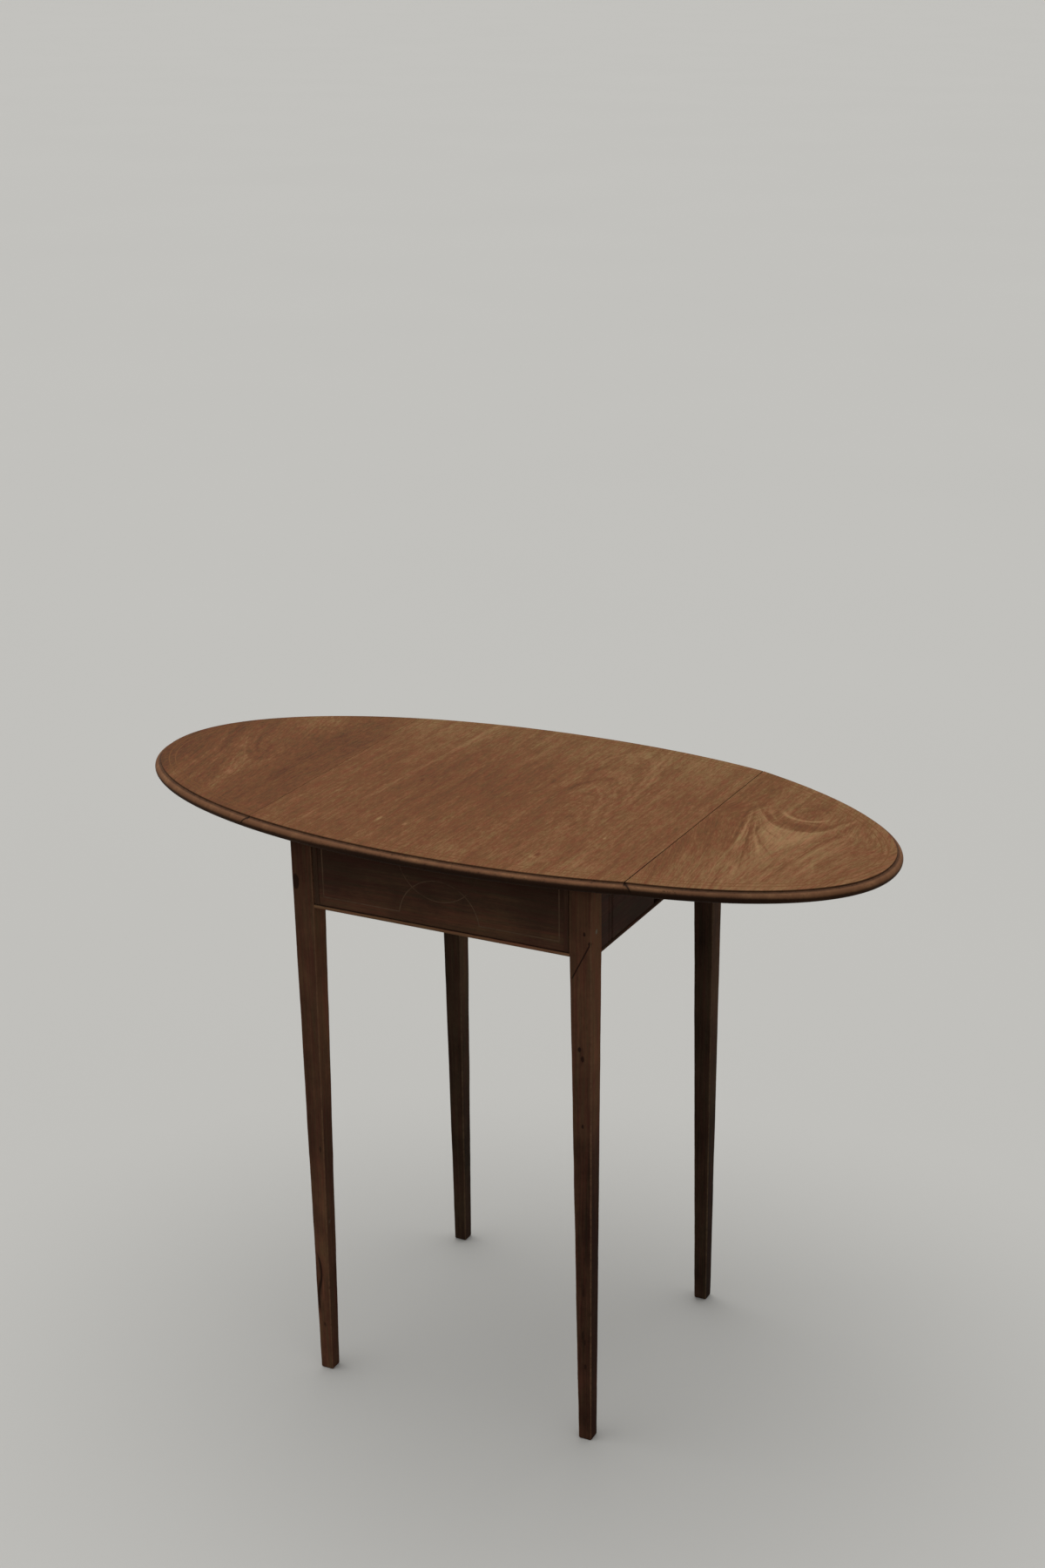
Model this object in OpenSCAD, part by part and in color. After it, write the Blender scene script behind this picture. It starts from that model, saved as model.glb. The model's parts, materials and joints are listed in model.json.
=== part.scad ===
/* [Top] */
// Height of the top above the floor
table_height = 700; // [500:5:800]
// Length of the oval top over its rounded edge, leaves raised
top_length = 894; // [800:2:1100]
// Width of the oval top over its rounded edge
top_width = 445; // [430:1:560]
// How square the oval is, where 2 is a true ellipse
oval_power = 2.07; // [2:0.01:2.4]
// Thickness of the top and its leaves
top_thickness = 14; // [13:0.5:20]
// Square step cut between the flat of the top and its rounded edge
edge_step = 2; // [1:0.25:3]
// Distance from the flat's edge in to the outer inlaid line
line_inset = 10.5; // [6:0.5:30]
// Distance between the two inlaid lines
line_spacing = 7; // [3:0.5:15]
// Width of an inlaid line
line_width = 1.2; // [0.8:0.1:2]
// Depth of an inlaid line
line_depth = 1; // [0.6:0.1:1.4]

/* [Leaves] */
// Length of the fixed centre panel between the two leaf joints
centre_length = 444; // [420:1:520]
// Sag of the right leaf below level as it rests on its brackets, in degrees
right_leaf_sag = 3; // [0:0.5:4]
// Sag of the left leaf below level as it rests on its brackets, in degrees
left_leaf_sag = 0; // [0:0.5:4]
// Depth of the square shoulder at the top of the rule joint
rule_shoulder = 2.5; // [1.5:0.25:4]
// Clearance in the rule joint
rule_gap = 0.3; // [0.2:0.05:0.6]

/* [Frame] */
// Length of the frame over the legs
frame_length = 360; // [340:1:400]
// Width of the frame over the legs
frame_width = 354; // [330:1:380]
// Thickness of a leg beside the aprons
leg_top = 25.4; // [24:0.2:32]
// Thickness of a leg at the floor
leg_foot = 16; // [10:0.5:24]
// Depth of the aprons with their edge strip
apron_depth = 86; // [78:1:110]
// Thickness of the front and back aprons
apron_thickness = 19; // [16:0.5:20]
// Step from the front of a leg back to the front apron
apron_setback = 2; // [1:0.25:4]
// Step from the side of a leg back to the brackets
side_setback = 1; // [0.5:0.25:2]
// Height of the rounded strip along the lower edge of each apron
strip_height = 5; // [3:0.25:8]
// Width of the upright strip at each end of the front apron
end_strip_width = 5; // [3:0.25:8]
// Distance from the leg to the upright strip
end_strip_gap = 1.8; // [0.5:0.1:4]
// How far the upright strip stands out of the apron
end_strip_proud = 0.8; // [0.4:0.1:1]

/* [Joinery] */
// Length of the tenons on the front and back aprons
apron_tenon_length = 16; // [10:0.5:18]
// Thickness of the tenons on the front and back aprons
apron_tenon_thickness = 7; // [5:0.25:7.5]
// Length of the tenons on the side rails
rail_tenon_length = 9; // [6:0.25:9.5]
// Thickness of the tenons on the side rails
rail_tenon_thickness = 6; // [4:0.25:8]
// Shoulder above and below each tenon
tenon_shoulder = 10; // [5:0.5:20]
// Clearance of a tenon in its mortise
mortise_gap = 0.15; // [0.1:0.05:0.3]
// Side of a triangular corner block
corner_block_side = 38; // [30:1:50]
// Height of a corner block
corner_block_height = 28; // [20:1:32]
// Section of a glue block
glue_block_side = 12; // [8:0.5:16]
// Length of a glue block
glue_block_length = 30; // [20:1:50]
// Distance of a glue block from the middle of its apron
glue_block_offset = 60; // [40:1:80]

/* [Brackets] */
// Thickness of the layer that the swinging brackets are cut from
fly_thickness = 12; // [10:0.25:13]
// Distance from a leg to the axis of its bracket
fly_axis_offset = 24; // [16:0.5:30]
// Width of the finger space between the two brackets of a side
finger_space = 34; // [20:1:60]
// Clearance round a swinging bracket
swing_gap = 0.3; // [0.25:0.05:0.5]
// Number of knuckles in a wooden hinge, an odd number
knuckles = 5; // [3:2:9]
// Radius of the steel wire pin in a wooden hinge
bracket_pin_radius = 1.5; // [1:0.1:2]
// Radial clearance of a hinge pin where it turns
pin_clearance = 0.05; // [0.03:0.01:0.08]

/* [Leaf hinges] */
// Distance of each leaf hinge from the middle of its joint
flap_offset = 92; // [60:1:105]
// Width of a leaf hinge along the joint
flap_width = 32; // [26:1:45]
// Length of the hinge plate under the centre panel
flap_fixed_length = 21; // [18:0.5:30]
// Length of the hinge plate under the leaf
flap_moving_length = 38; // [30:0.5:50]
// Thickness of the hinge plates
flap_thickness = 1.5; // [1.2:0.1:2]
// Radius of the hinge barrel
flap_barrel_radius = 2.25; // [2:0.05:2.4]
// Height of the barrel's axis above the outer face of the plates
flap_axis_height = 2.5; // [2.4:0.05:3]
// Radius of the hinge pin
flap_pin_radius = 1.1; // [0.8:0.05:1.3]

/* [Screws] */
// Radius of the shank of a hinge plate screw
small_screw_radius = 1.3; // [1:0.05:1.6]
// Length of a hinge plate screw
small_screw_length = 8; // [6:0.5:10]
// Radius of the shank of a screw in the frame
frame_screw_radius = 2; // [1.5:0.1:2.5]
// Depth that a top screw goes into the top
top_screw_bite = 8; // [5:0.5:10]
// Depth that a block screw goes into the bracket block
block_screw_bite = 7; // [5:0.5:8]
// Distance of a hinge plate screw from the plate's edges
small_screw_margin = 6; // [4:0.25:8]
// Offset of the outer hinge plate screws from the inner ones, along the joint
small_screw_stagger = 5; // [0:0.25:6]
// Clearance round the shank of a screw
screw_gap = 0.05; // [0.02:0.01:0.1]

/* [Front inlay] */
// Distance of the inlaid frame line from the leg
inlay_side = 12.5; // [9:0.5:30]
// Distance of the inlaid frame line from the edges of the apron panel
inlay_edge = 10; // [5:0.5:16]
// Radius of the two interlaced bows
bow_radius = 48.5; // [42:0.5:60]
// How far a bow's centre lies outside its frame line
bow_drop = 6.5; // [0:0.5:15]

/* [Hidden] */
$fn = 48;
edge_points = 120; // around the oval
nose_steps = 8; // round the half-round of the edge
thin = 0.6; // slot of a screw head
big = 2000;

top_z = table_height;
under_z = table_height - top_thickness;
nose_radius = (top_thickness - edge_step) / 2;
half_x = top_length / 2;
half_y = top_width / 2;
hinge_x = centre_length / 2;
hinge_z = under_z + flap_axis_height;
rule_radius = top_thickness - rule_shoulder - flap_axis_height;

apron_bottom = under_z - apron_depth;
strip_top = apron_bottom + strip_height;
leg_out_x = frame_length / 2;
leg_out_y = frame_width / 2;
leg_in_x = leg_out_x - leg_top;
leg_in_y = leg_out_y - leg_top;
apron_out_y = leg_out_y - apron_setback;
apron_in_y = apron_out_y - apron_thickness;
fly_out_x = leg_out_x - side_setback;
rail_out_x = fly_out_x - fly_thickness;

arm_thickness = fly_thickness - swing_gap;
arm_radius = arm_thickness / 2;
fly_axis_x = fly_out_x - arm_radius;
fly_axis_y = leg_in_y - fly_axis_offset;
arm_end_y = finger_space / 2;
arm_reach_x = fly_axis_x + fly_axis_y - arm_end_y; // tip of an open bracket
arm_bottom = strip_top + swing_gap;

head_ratio = 2; // head radius over shank radius of a countersunk screw
slot_depth = 0.5;

inlay_x = leg_in_x - inlay_side;
inlay_z0 = strip_top + inlay_edge;
inlay_z1 = under_z - inlay_edge;

wood = "#8a5a38";
dark_wood = "#5f3d28";
inner_wood = "#9a7350";
line_wood = "#c79a66";
brass = "#b08d4a";
steel = "#8d8f92";

// Point of the oval at an angle, moved out along its normal
function signed_power(v, p) = sign(v) * pow(abs(v), p);
function oval_x(t) = half_x * signed_power(cos(t), 2 / oval_power);
function oval_y(t) = half_y * signed_power(sin(t), 2 / oval_power);
function normal_x(t) = signed_power(oval_x(t) / half_x, oval_power - 1) / half_x;
function normal_y(t) = signed_power(oval_y(t) / half_y, oval_power - 1) / half_y;
function oval_point(t, out) =
    let (nx = normal_x(t), ny = normal_y(t), n = sqrt(nx * nx + ny * ny))
    [oval_x(t) + out * nx / n, oval_y(t) + out * ny / n];
function oval_angle(i) = 360 * (i + 0.5) / edge_points;
function oval_ring(out) = [for (i = [0 : edge_points - 1]) oval_point(oval_angle(i), out)];

// Edge profile from the flat down to the underside: how far out, and the height
function edge_profile() = concat(
    [[-nose_radius, top_z]],
    [for (k = [0 : nose_steps])
        let (a = 90 - 180 * k / nose_steps)
        [nose_radius * cos(a) - nose_radius, under_z + nose_radius + nose_radius * sin(a)]]);

function sag(side) = side < 0 ? left_leaf_sag : right_leaf_sag;
// Top of a bracket: the sagging leaf rests on its tip
function arm_top(side) =
    hinge_z - flap_axis_height / cos(sag(side))
    - (arm_reach_x - hinge_x) * tan(sag(side)) - swing_gap;
function knuckle_z(side, i) = arm_bottom + (arm_top(side) - arm_bottom) * i / knuckles;

module box(low, high) {
    translate(low) cube(high - low);
}

module to_side(side) {
    mirror([side < 0 ? 1 : 0, 0, 0]) children();
}

module to_end(end) {
    mirror([0, end < 0 ? 1 : 0, 0]) children();
}

module to_corner(side, end) {
    to_side(side) to_end(end) children();
}

// Leaf pieces are drawn level on the right and turned down to their sag
module on_leaf(side) {
    to_side(side)
        translate([hinge_x, 0, hinge_z])
            rotate([0, sag(side), 0])
                translate([-hinge_x, 0, -hinge_z])
                    children();
}

// Countersunk slotted screw, its head's face at the origin and its tip along +Z
module screw(radius, length) {
    head = radius * head_ratio;
    difference() {
        union() {
            cylinder(h = head - radius, r1 = head, r2 = radius);
            cylinder(h = length, r = radius);
        }
        translate([-head, -thin / 2, -1]) cube([2 * head, thin, 1 + slot_depth]);
    }
}

module screw_hole(radius, length) {
    head = radius * head_ratio + screw_gap;
    union() {
        cylinder(h = head - radius, r1 = head, r2 = radius);
        cylinder(h = length + screw_gap, r = radius + screw_gap);
        translate([0, 0, -1]) cylinder(h = 1, r = head);
    }
}

// Whole oval slab with its moulded edge
module top_blank() {
    profile = edge_profile();
    rows = len(profile);
    n = edge_points;
    points = [for (p = profile) for (q = oval_ring(p[0])) [q[0], q[1], p[1]]];
    upper = [[for (i = [0 : n - 1]) n - 1 - i]];
    lower = [[for (i = [0 : n - 1]) (rows - 1) * n + i]];
    bands = [for (r = [0 : rows - 2]) for (i = [0 : n - 1])
        let (a = r * n + i, b = r * n + (i + 1) % n)
        for (f = [[a, b, b + n], [a, b + n, a + n]]) f];
    polyhedron(points, concat(upper, lower, bands));
}

// Two inlaid lines that follow the edge
module edge_lines() {
    for (k = [0, 1]) {
        middle = -nose_radius - line_inset - k * line_spacing;
        translate([0, 0, top_z - line_depth])
            linear_extrude(line_depth)
                difference() {
                    polygon(oval_ring(middle + line_width / 2));
                    polygon(oval_ring(middle - line_width / 2));
                }
    }
}

// Space of the centre panel, with the round tongues of the rule joints
module centre_space() {
    rotate([90, 0, 0])
        linear_extrude(top_width + 2, center = true) {
            translate([-hinge_x, under_z - 1]) square([2 * hinge_x, top_thickness + 2]);
            for (side = [-1, 1])
                translate([side * hinge_x, hinge_z])
                    intersection() {
                        circle(rule_radius);
                        translate([-rule_radius, -flap_axis_height - 1])
                            square(2 * rule_radius + flap_axis_height + 1);
                    }
        }
}

// Space of the right leaf, with the hollow of the rule joint
module leaf_space() {
    rotate([90, 0, 0])
        linear_extrude(top_width + 2, center = true)
            difference() {
                translate([hinge_x + rule_gap, under_z - 1]) square([half_x, top_thickness + 2]);
                translate([hinge_x, hinge_z]) circle(rule_radius + rule_gap);
            }
}

// Places of the screws in a hinge plate, from the barrel's axis, by sign of side
module flap_screw_places(side, length) {
    along = flap_width / 2 - small_screw_margin;
    near = (side > 0 ? rule_radius : flap_barrel_radius) + rule_gap + small_screw_margin;
    for (end = [-1, 1])
        for (p = [[near, along], [length - small_screw_margin, along - small_screw_stagger]])
            translate([hinge_x + side * p[0], end * p[1], under_z]) children();
}

module each_flap() {
    for (end = [-1, 1]) translate([0, end * flap_offset, 0]) children();
}

// Barrel pieces and plate of one half of a leaf hinge
module flap(side, length, first) {
    pitch = flap_width / 5;
    root = flap_barrel_radius + rule_gap;
    difference() {
        union() {
            for (k = [first : 2 : 4]) {
                y0 = -flap_width / 2 + k * pitch + (k > 0 ? rule_gap / 4 : 0);
                y1 = -flap_width / 2 + (k + 1) * pitch - (k < 4 ? rule_gap / 4 : 0);
                translate([hinge_x, y1, hinge_z])
                    rotate([90, 0, 0]) cylinder(h = y1 - y0, r = flap_barrel_radius);
                box([hinge_x + (side > 0 ? 0 : -root - 1), y0, under_z],
                    [hinge_x + (side > 0 ? root + 1 : 0), y1, under_z + flap_thickness]);
            }
            box([hinge_x + (side > 0 ? root : -length), -flap_width / 2, under_z],
                [hinge_x + (side > 0 ? length : -root), flap_width / 2, under_z + flap_thickness]);
        }
        translate([hinge_x, flap_width, hinge_z])
            rotate([90, 0, 0])
                cylinder(h = 2 * flap_width,
                         r = flap_pin_radius + (side > 0 ? pin_clearance : 0));
        flap_screw_places(side, length) screw_hole(small_screw_radius, small_screw_length);
    }
}

// What is cut out of the wood for one leaf hinge
module flap_bed(side, length) {
    room = flap_barrel_radius + rule_gap;
    wide = flap_width / 2 + rule_gap;
    box([hinge_x - (side < 0 ? length : 0), -flap_width / 2, under_z - 1],
        [hinge_x + (side > 0 ? length : 0), flap_width / 2, under_z + flap_thickness]);
    if (side < 0) {
        translate([hinge_x, wide, hinge_z])
            rotate([90, 0, 0]) cylinder(h = 2 * wide, r = room);
        box([hinge_x - room, -wide, under_z - 1], [hinge_x + room, wide, hinge_z]);
        box([hinge_x, -wide, under_z - 1],
            [hinge_x + rule_radius + 1, wide, under_z + flap_thickness + rule_gap]);
    }
}

module top_screw_place() {
    translate([leg_in_x - corner_block_side / 3, apron_in_y - corner_block_side / 3,
               under_z - corner_block_height])
        children();
}

module top_centre() {
    color(wood)
        difference() {
            intersection() {
                top_blank();
                centre_space();
            }
            edge_lines();
            for (side = [-1, 1]) to_side(side) each_flap() {
                flap_bed(-1, flap_fixed_length);
                flap_screw_places(-1, flap_fixed_length)
                    screw_hole(small_screw_radius, small_screw_length);
            }
            for (side = [-1, 1]) for (end = [-1, 1])
                to_corner(side, end) top_screw_place()
                    screw_hole(frame_screw_radius, corner_block_height + top_screw_bite);
        }
}

module leaf(side) {
    color(wood)
        on_leaf(side)
            difference() {
                intersection() {
                    top_blank();
                    leaf_space();
                }
                edge_lines();
                each_flap() {
                    flap_bed(1, flap_moving_length);
                    flap_screw_places(1, flap_moving_length)
                        screw_hole(small_screw_radius, small_screw_length);
                }
            }
}

module centre_lines() {
    color(line_wood)
        intersection() {
            edge_lines();
            centre_space();
        }
}

module leaf_lines(side) {
    color(line_wood)
        on_leaf(side)
            intersection() {
                edge_lines();
                leaf_space();
            }
}

// Tenons in the corner where x and y are positive; gap widens them into mortises
module apron_tenon(gap) {
    y = (apron_out_y + apron_in_y) / 2;
    box([leg_in_x - 1, y - apron_tenon_thickness / 2 - gap, strip_top + tenon_shoulder - gap],
        [leg_in_x + apron_tenon_length + gap, y + apron_tenon_thickness / 2 + gap,
         under_z - tenon_shoulder + gap]);
}

module rail_tenon(gap) {
    x = (leg_in_x + rail_out_x) / 2;
    box([x - rail_tenon_thickness / 2 - gap, leg_in_y - 1, strip_top + tenon_shoulder - gap],
        [x + rail_tenon_thickness / 2 + gap, leg_in_y + rail_tenon_length + gap,
         under_z - tenon_shoulder + gap]);
}

// Side view of a leg, its outer face on the origin line and its inner face tapered
module leg_outline() {
    polygon([[0, 0], [-leg_foot, 0], [-leg_top, apron_bottom], [-leg_top, under_z], [0, under_z]]);
}

module leg(side, end) {
    color(dark_wood)
        to_corner(side, end)
            difference() {
                intersection() {
                    translate([leg_out_x, leg_out_y, 0])
                        rotate([90, 0, 0]) linear_extrude(leg_top) leg_outline();
                    translate([leg_in_x, leg_out_y, 0])
                        rotate([90, 0, 90]) linear_extrude(leg_top) leg_outline();
                }
                apron_tenon(mortise_gap);
                rail_tenon(mortise_gap);
            }
}

// Inlaid frame line and the two interlaced bows, standing out of the y = 0 plane
module inlay_shape() {
    foot = sqrt(bow_radius * bow_radius - bow_drop * bow_drop);
    half = line_width / 2;
    for (side = [-1, 1]) mirror([side < 0 ? 1 : 0, 0]) {
        translate([inlay_x - half, inlay_z0 - half]) square([line_width, inlay_z1 - inlay_z0 + line_width]);
        for (z = [inlay_z0, inlay_z1])
            translate([foot - half, z - half]) square([inlay_x - foot + half, line_width]);
    }
    for (bow = [[inlay_z0 - bow_drop, inlay_z0 - half], [inlay_z1 + bow_drop, inlay_z1 + half - big]])
        intersection() {
            translate([0, bow[0]])
                difference() {
                    circle(bow_radius + half, $fn = 96);
                    circle(bow_radius - half, $fn = 96);
                }
            translate([-big / 2, bow[1]]) square(big);
        }
}

module inlay_solid() {
    translate([0, apron_out_y, 0])
        rotate([90, 0, 0]) linear_extrude(line_depth) inlay_shape();
}

module apron(end) {
    color(dark_wood)
        to_end(end)
            difference() {
                union() {
                    box([-leg_in_x, apron_in_y, strip_top], [leg_in_x, apron_out_y, under_z]);
                    for (side = [-1, 1]) to_side(side) apron_tenon(0);
                }
                inlay_solid();
            }
}

module inlay(end) {
    color(line_wood) to_end(end) inlay_solid();
}

// Rounded strip along a lower edge: from its back to its nose, running both ways from the middle
module edge_strip(back, nose, run) {
    r = strip_height / 2;
    rotate([90, 0, 90])
        linear_extrude(2 * run, center = true) {
            translate([back, apron_bottom]) square([nose - r - back, strip_height]);
            translate([nose - r, apron_bottom + r]) circle(r);
        }
}

module apron_strip(end) {
    color(wood) to_end(end) edge_strip(apron_in_y, leg_out_y, leg_in_x);
}

module rail_strip(side) {
    color(wood) rotate([0, 0, side < 0 ? 90 : -90]) edge_strip(leg_in_x, leg_out_x, leg_in_y);
}

module end_strips(end) {
    x = leg_in_x - end_strip_gap;
    color(wood)
        for (side = [-1, 1]) to_corner(side, end)
            box([x - end_strip_width, apron_out_y, strip_top],
                [x, apron_out_y + end_strip_proud, under_z]);
}

module block_screw_places() {
    y = leg_in_y - fly_axis_offset / 3;
    for (z = [0.2, 0.5])
        translate([leg_in_x, y, strip_top + (apron_depth - corner_block_height) * z])
            rotate([0, 90, 0]) children();
}

function block_screw_length() = rail_out_x - leg_in_x + block_screw_bite;

module rail(side) {
    color(inner_wood)
        to_side(side)
            difference() {
                union() {
                    box([leg_in_x, -leg_in_y, strip_top], [rail_out_x, leg_in_y, under_z]);
                    for (end = [-1, 1]) to_end(end) rail_tenon(0);
                }
                for (end = [-1, 1]) to_end(end)
                    block_screw_places() screw_hole(frame_screw_radius, block_screw_length());
            }
}

module fly_cylinder(radius, z0, z1) {
    translate([fly_axis_x, fly_axis_y, z0]) cylinder(h = z1 - z0, r = radius);
}

// Fixed half of a wooden hinge
module bracket_block(side, end) {
    color(dark_wood)
        to_corner(side, end)
            difference() {
                union() {
                    difference() {
                        box([rail_out_x, fly_axis_y, strip_top], [fly_out_x, leg_in_y, under_z]);
                        translate([fly_axis_x, fly_axis_y, strip_top - 1])
                            linear_extrude(apron_depth)
                                polygon([[0, 0], [fly_thickness, fly_thickness],
                                         [fly_thickness, -1], [0, -1]]);
                        for (i = [1 : 2 : knuckles - 2])
                            fly_cylinder(arm_radius + swing_gap, knuckle_z(side, i),
                                         knuckle_z(side, i + 1));
                    }
                    for (i = [0 : 2 : knuckles - 1])
                        fly_cylinder(arm_radius, i == 0 ? strip_top : knuckle_z(side, i),
                                     i == knuckles - 1 ? under_z : knuckle_z(side, i + 1));
                }
                fly_cylinder(bracket_pin_radius, strip_top - 1, under_z + 1);
                block_screw_places() screw_hole(frame_screw_radius, block_screw_length());
            }
}

// Swinging half: a board that folds flat against the side rail
module bracket(side, end) {
    lap = swing_gap * 1.5;
    color(dark_wood)
        to_corner(side, end)
            difference() {
                union() {
                    difference() {
                        box([fly_out_x - arm_thickness, arm_end_y, arm_bottom],
                            [fly_out_x, fly_axis_y, arm_top(side)]);
                        translate([fly_axis_x, fly_axis_y, strip_top])
                            linear_extrude(apron_depth)
                                polygon([[-lap, 0], [fly_thickness, -fly_thickness - lap],
                                         [fly_thickness, 1], [-lap, 1]]);
                        for (i = [0 : 2 : knuckles - 1])
                            fly_cylinder(arm_radius + swing_gap, knuckle_z(side, i) - swing_gap,
                                         knuckle_z(side, i + 1) + swing_gap);
                    }
                    for (i = [1 : 2 : knuckles - 2])
                        fly_cylinder(arm_radius, knuckle_z(side, i) + swing_gap,
                                     knuckle_z(side, i + 1) - swing_gap);
                }
                fly_cylinder(bracket_pin_radius + pin_clearance, strip_top - 1, under_z + 1);
            }
}

module bracket_pins() {
    color(steel)
        for (side = [-1, 1]) for (end = [-1, 1])
            to_corner(side, end) fly_cylinder(bracket_pin_radius, strip_top, under_z - 1);
}

module block_screws() {
    color(steel)
        for (side = [-1, 1]) for (end = [-1, 1])
            to_corner(side, end)
                block_screw_places() screw(frame_screw_radius, block_screw_length());
}

module corner_block(side, end) {
    color(inner_wood)
        to_corner(side, end)
            difference() {
                translate([leg_in_x, apron_in_y, under_z - corner_block_height])
                    linear_extrude(corner_block_height)
                        polygon([[0, 0], [-corner_block_side, 0], [0, -corner_block_side]]);
                top_screw_place()
                    screw_hole(frame_screw_radius, corner_block_height + top_screw_bite);
            }
}

module top_screws() {
    color(steel)
        for (side = [-1, 1]) for (end = [-1, 1])
            to_corner(side, end) top_screw_place()
                screw(frame_screw_radius, corner_block_height + top_screw_bite);
}

module glue_blocks(end) {
    s = glue_block_side;
    color(inner_wood)
        for (side = [-1, 1]) to_corner(side, end)
            translate([glue_block_offset - glue_block_length / 2, apron_in_y, under_z])
                rotate([90, 0, 90])
                    linear_extrude(glue_block_length)
                        polygon([[0, 0], [-s, 0], [-s, -s * 0.4], [-s * 0.4, -s], [0, -s]]);
}

module hinge_fixed(side) {
    color(brass) to_side(side) each_flap() flap(-1, flap_fixed_length, 0);
}

module hinge_moving(side) {
    color(brass) on_leaf(side) each_flap() flap(1, flap_moving_length, 1);
}

module hinge_pins(side) {
    color(steel)
        to_side(side) each_flap()
            translate([hinge_x, flap_width / 2, hinge_z])
                rotate([90, 0, 0]) cylinder(h = flap_width, r = flap_pin_radius);
}

module hinge_screws_fixed(side) {
    color(brass)
        to_side(side) each_flap()
            flap_screw_places(-1, flap_fixed_length)
                screw(small_screw_radius, small_screw_length);
}

module hinge_screws_moving(side) {
    color(brass)
        on_leaf(side) each_flap()
            flap_screw_places(1, flap_moving_length)
                screw(small_screw_radius, small_screw_length);
}

top_centre();
leaf(-1);  // leaf_left
leaf(1);  // leaf_right
centre_lines();  // line_top_centre
leaf_lines(-1);  // line_leaf_left
leaf_lines(1);  // line_leaf_right
leg(-1, -1);  // leg_front_left
leg(1, -1);  // leg_front_right
leg(-1, 1);  // leg_back_left
leg(1, 1);  // leg_back_right
apron(-1);  // apron_front
apron(1);  // apron_back
rail(-1);  // rail_left
rail(1);  // rail_right
apron_strip(-1);  // strip_front
apron_strip(1);  // strip_back
rail_strip(-1);  // strip_left
rail_strip(1);  // strip_right
end_strips(-1);  // end_strips_front
end_strips(1);  // end_strips_back
inlay(-1);  // inlay_front
inlay(1);  // inlay_back
bracket(-1, -1);  // bracket_front_left
bracket(1, -1);  // bracket_front_right
bracket(-1, 1);  // bracket_back_left
bracket(1, 1);  // bracket_back_right
bracket_block(-1, -1);  // bracket_block_front_left
bracket_block(1, -1);  // bracket_block_front_right
bracket_block(-1, 1);  // bracket_block_back_left
bracket_block(1, 1);  // bracket_block_back_right
bracket_pins();
block_screws();
corner_block(-1, -1);  // corner_block_front_left
corner_block(1, -1);  // corner_block_front_right
corner_block(-1, 1);  // corner_block_back_left
corner_block(1, 1);  // corner_block_back_right
top_screws();
glue_blocks(-1);  // glue_blocks_front
glue_blocks(1);  // glue_blocks_back
hinge_fixed(-1);  // hinge_fixed_left
hinge_fixed(1);  // hinge_fixed_right
hinge_moving(-1);  // hinge_moving_left
hinge_moving(1);  // hinge_moving_right
hinge_pins(-1);  // hinge_pins_left
hinge_pins(1);  // hinge_pins_right
hinge_screws_fixed(-1);  // hinge_screws_fixed_left
hinge_screws_fixed(1);  // hinge_screws_fixed_right
hinge_screws_moving(-1);  // hinge_screws_moving_left
hinge_screws_moving(1);  // hinge_screws_moving_right
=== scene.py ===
import json
import math

import bmesh
import bpy
import numpy as np
from bpy.props import FloatProperty, FloatVectorProperty, IntProperty, PointerProperty
from mathutils import Matrix, Vector, noise

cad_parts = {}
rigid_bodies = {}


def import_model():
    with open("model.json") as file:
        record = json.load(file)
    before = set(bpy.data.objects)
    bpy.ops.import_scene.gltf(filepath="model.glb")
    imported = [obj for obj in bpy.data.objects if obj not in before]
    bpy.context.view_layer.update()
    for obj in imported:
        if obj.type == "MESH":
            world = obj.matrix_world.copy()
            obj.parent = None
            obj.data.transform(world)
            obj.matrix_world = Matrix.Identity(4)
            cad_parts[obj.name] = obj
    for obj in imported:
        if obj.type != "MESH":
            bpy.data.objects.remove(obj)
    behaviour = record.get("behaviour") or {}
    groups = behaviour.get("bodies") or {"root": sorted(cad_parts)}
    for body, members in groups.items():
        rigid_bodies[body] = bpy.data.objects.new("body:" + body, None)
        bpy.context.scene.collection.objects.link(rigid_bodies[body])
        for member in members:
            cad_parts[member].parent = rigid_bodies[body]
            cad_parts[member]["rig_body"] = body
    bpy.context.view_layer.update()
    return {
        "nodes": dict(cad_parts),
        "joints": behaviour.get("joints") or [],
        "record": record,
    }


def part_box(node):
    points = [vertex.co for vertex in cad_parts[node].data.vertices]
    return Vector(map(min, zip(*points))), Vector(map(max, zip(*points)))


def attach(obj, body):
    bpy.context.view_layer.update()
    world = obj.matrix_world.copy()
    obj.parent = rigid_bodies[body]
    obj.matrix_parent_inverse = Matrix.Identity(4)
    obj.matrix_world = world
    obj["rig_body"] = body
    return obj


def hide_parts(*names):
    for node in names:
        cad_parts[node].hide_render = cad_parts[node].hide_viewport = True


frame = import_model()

bl_info = {
    "name": "Butterfly table",
    "version": (1, 0, 0),
    "blender": (4, 5, 0),
    "location": "3D View > Sidebar > Table",
    "description": "Dresses an oval drop-leaf table in worn, figured mahogany",
    "category": "Object",
}

joints = {joint["name"]: joint for joint in frame["joints"]}
MM = 0.001
# Faces that meet at more than this angle keep a sharp edge between them
SHARP = math.radians(32)
# How far a cutting solid reaches past what it cuts, in metres
BEYOND = 0.01
# Size in pixels of the photograph that the camera was fitted to
PICTURE_WIDTH = 1200
PICTURE_HEIGHT = 1800
SIDES = ("left", "right")
CORNERS = ("front_left", "front_right", "back_left", "back_right")


def srgb(red, green, blue):
    """Linear colour of an 8-bit screen colour."""
    def linear(value):
        value /= 255
        return value / 12.92 if value <= 0.04045 else ((value + 0.055) / 1.055) ** 2.4
    return (linear(red), linear(green), linear(blue))


def tinted(shade, tint):
    return tuple(value * share for value, share in zip(shade, tint))


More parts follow.
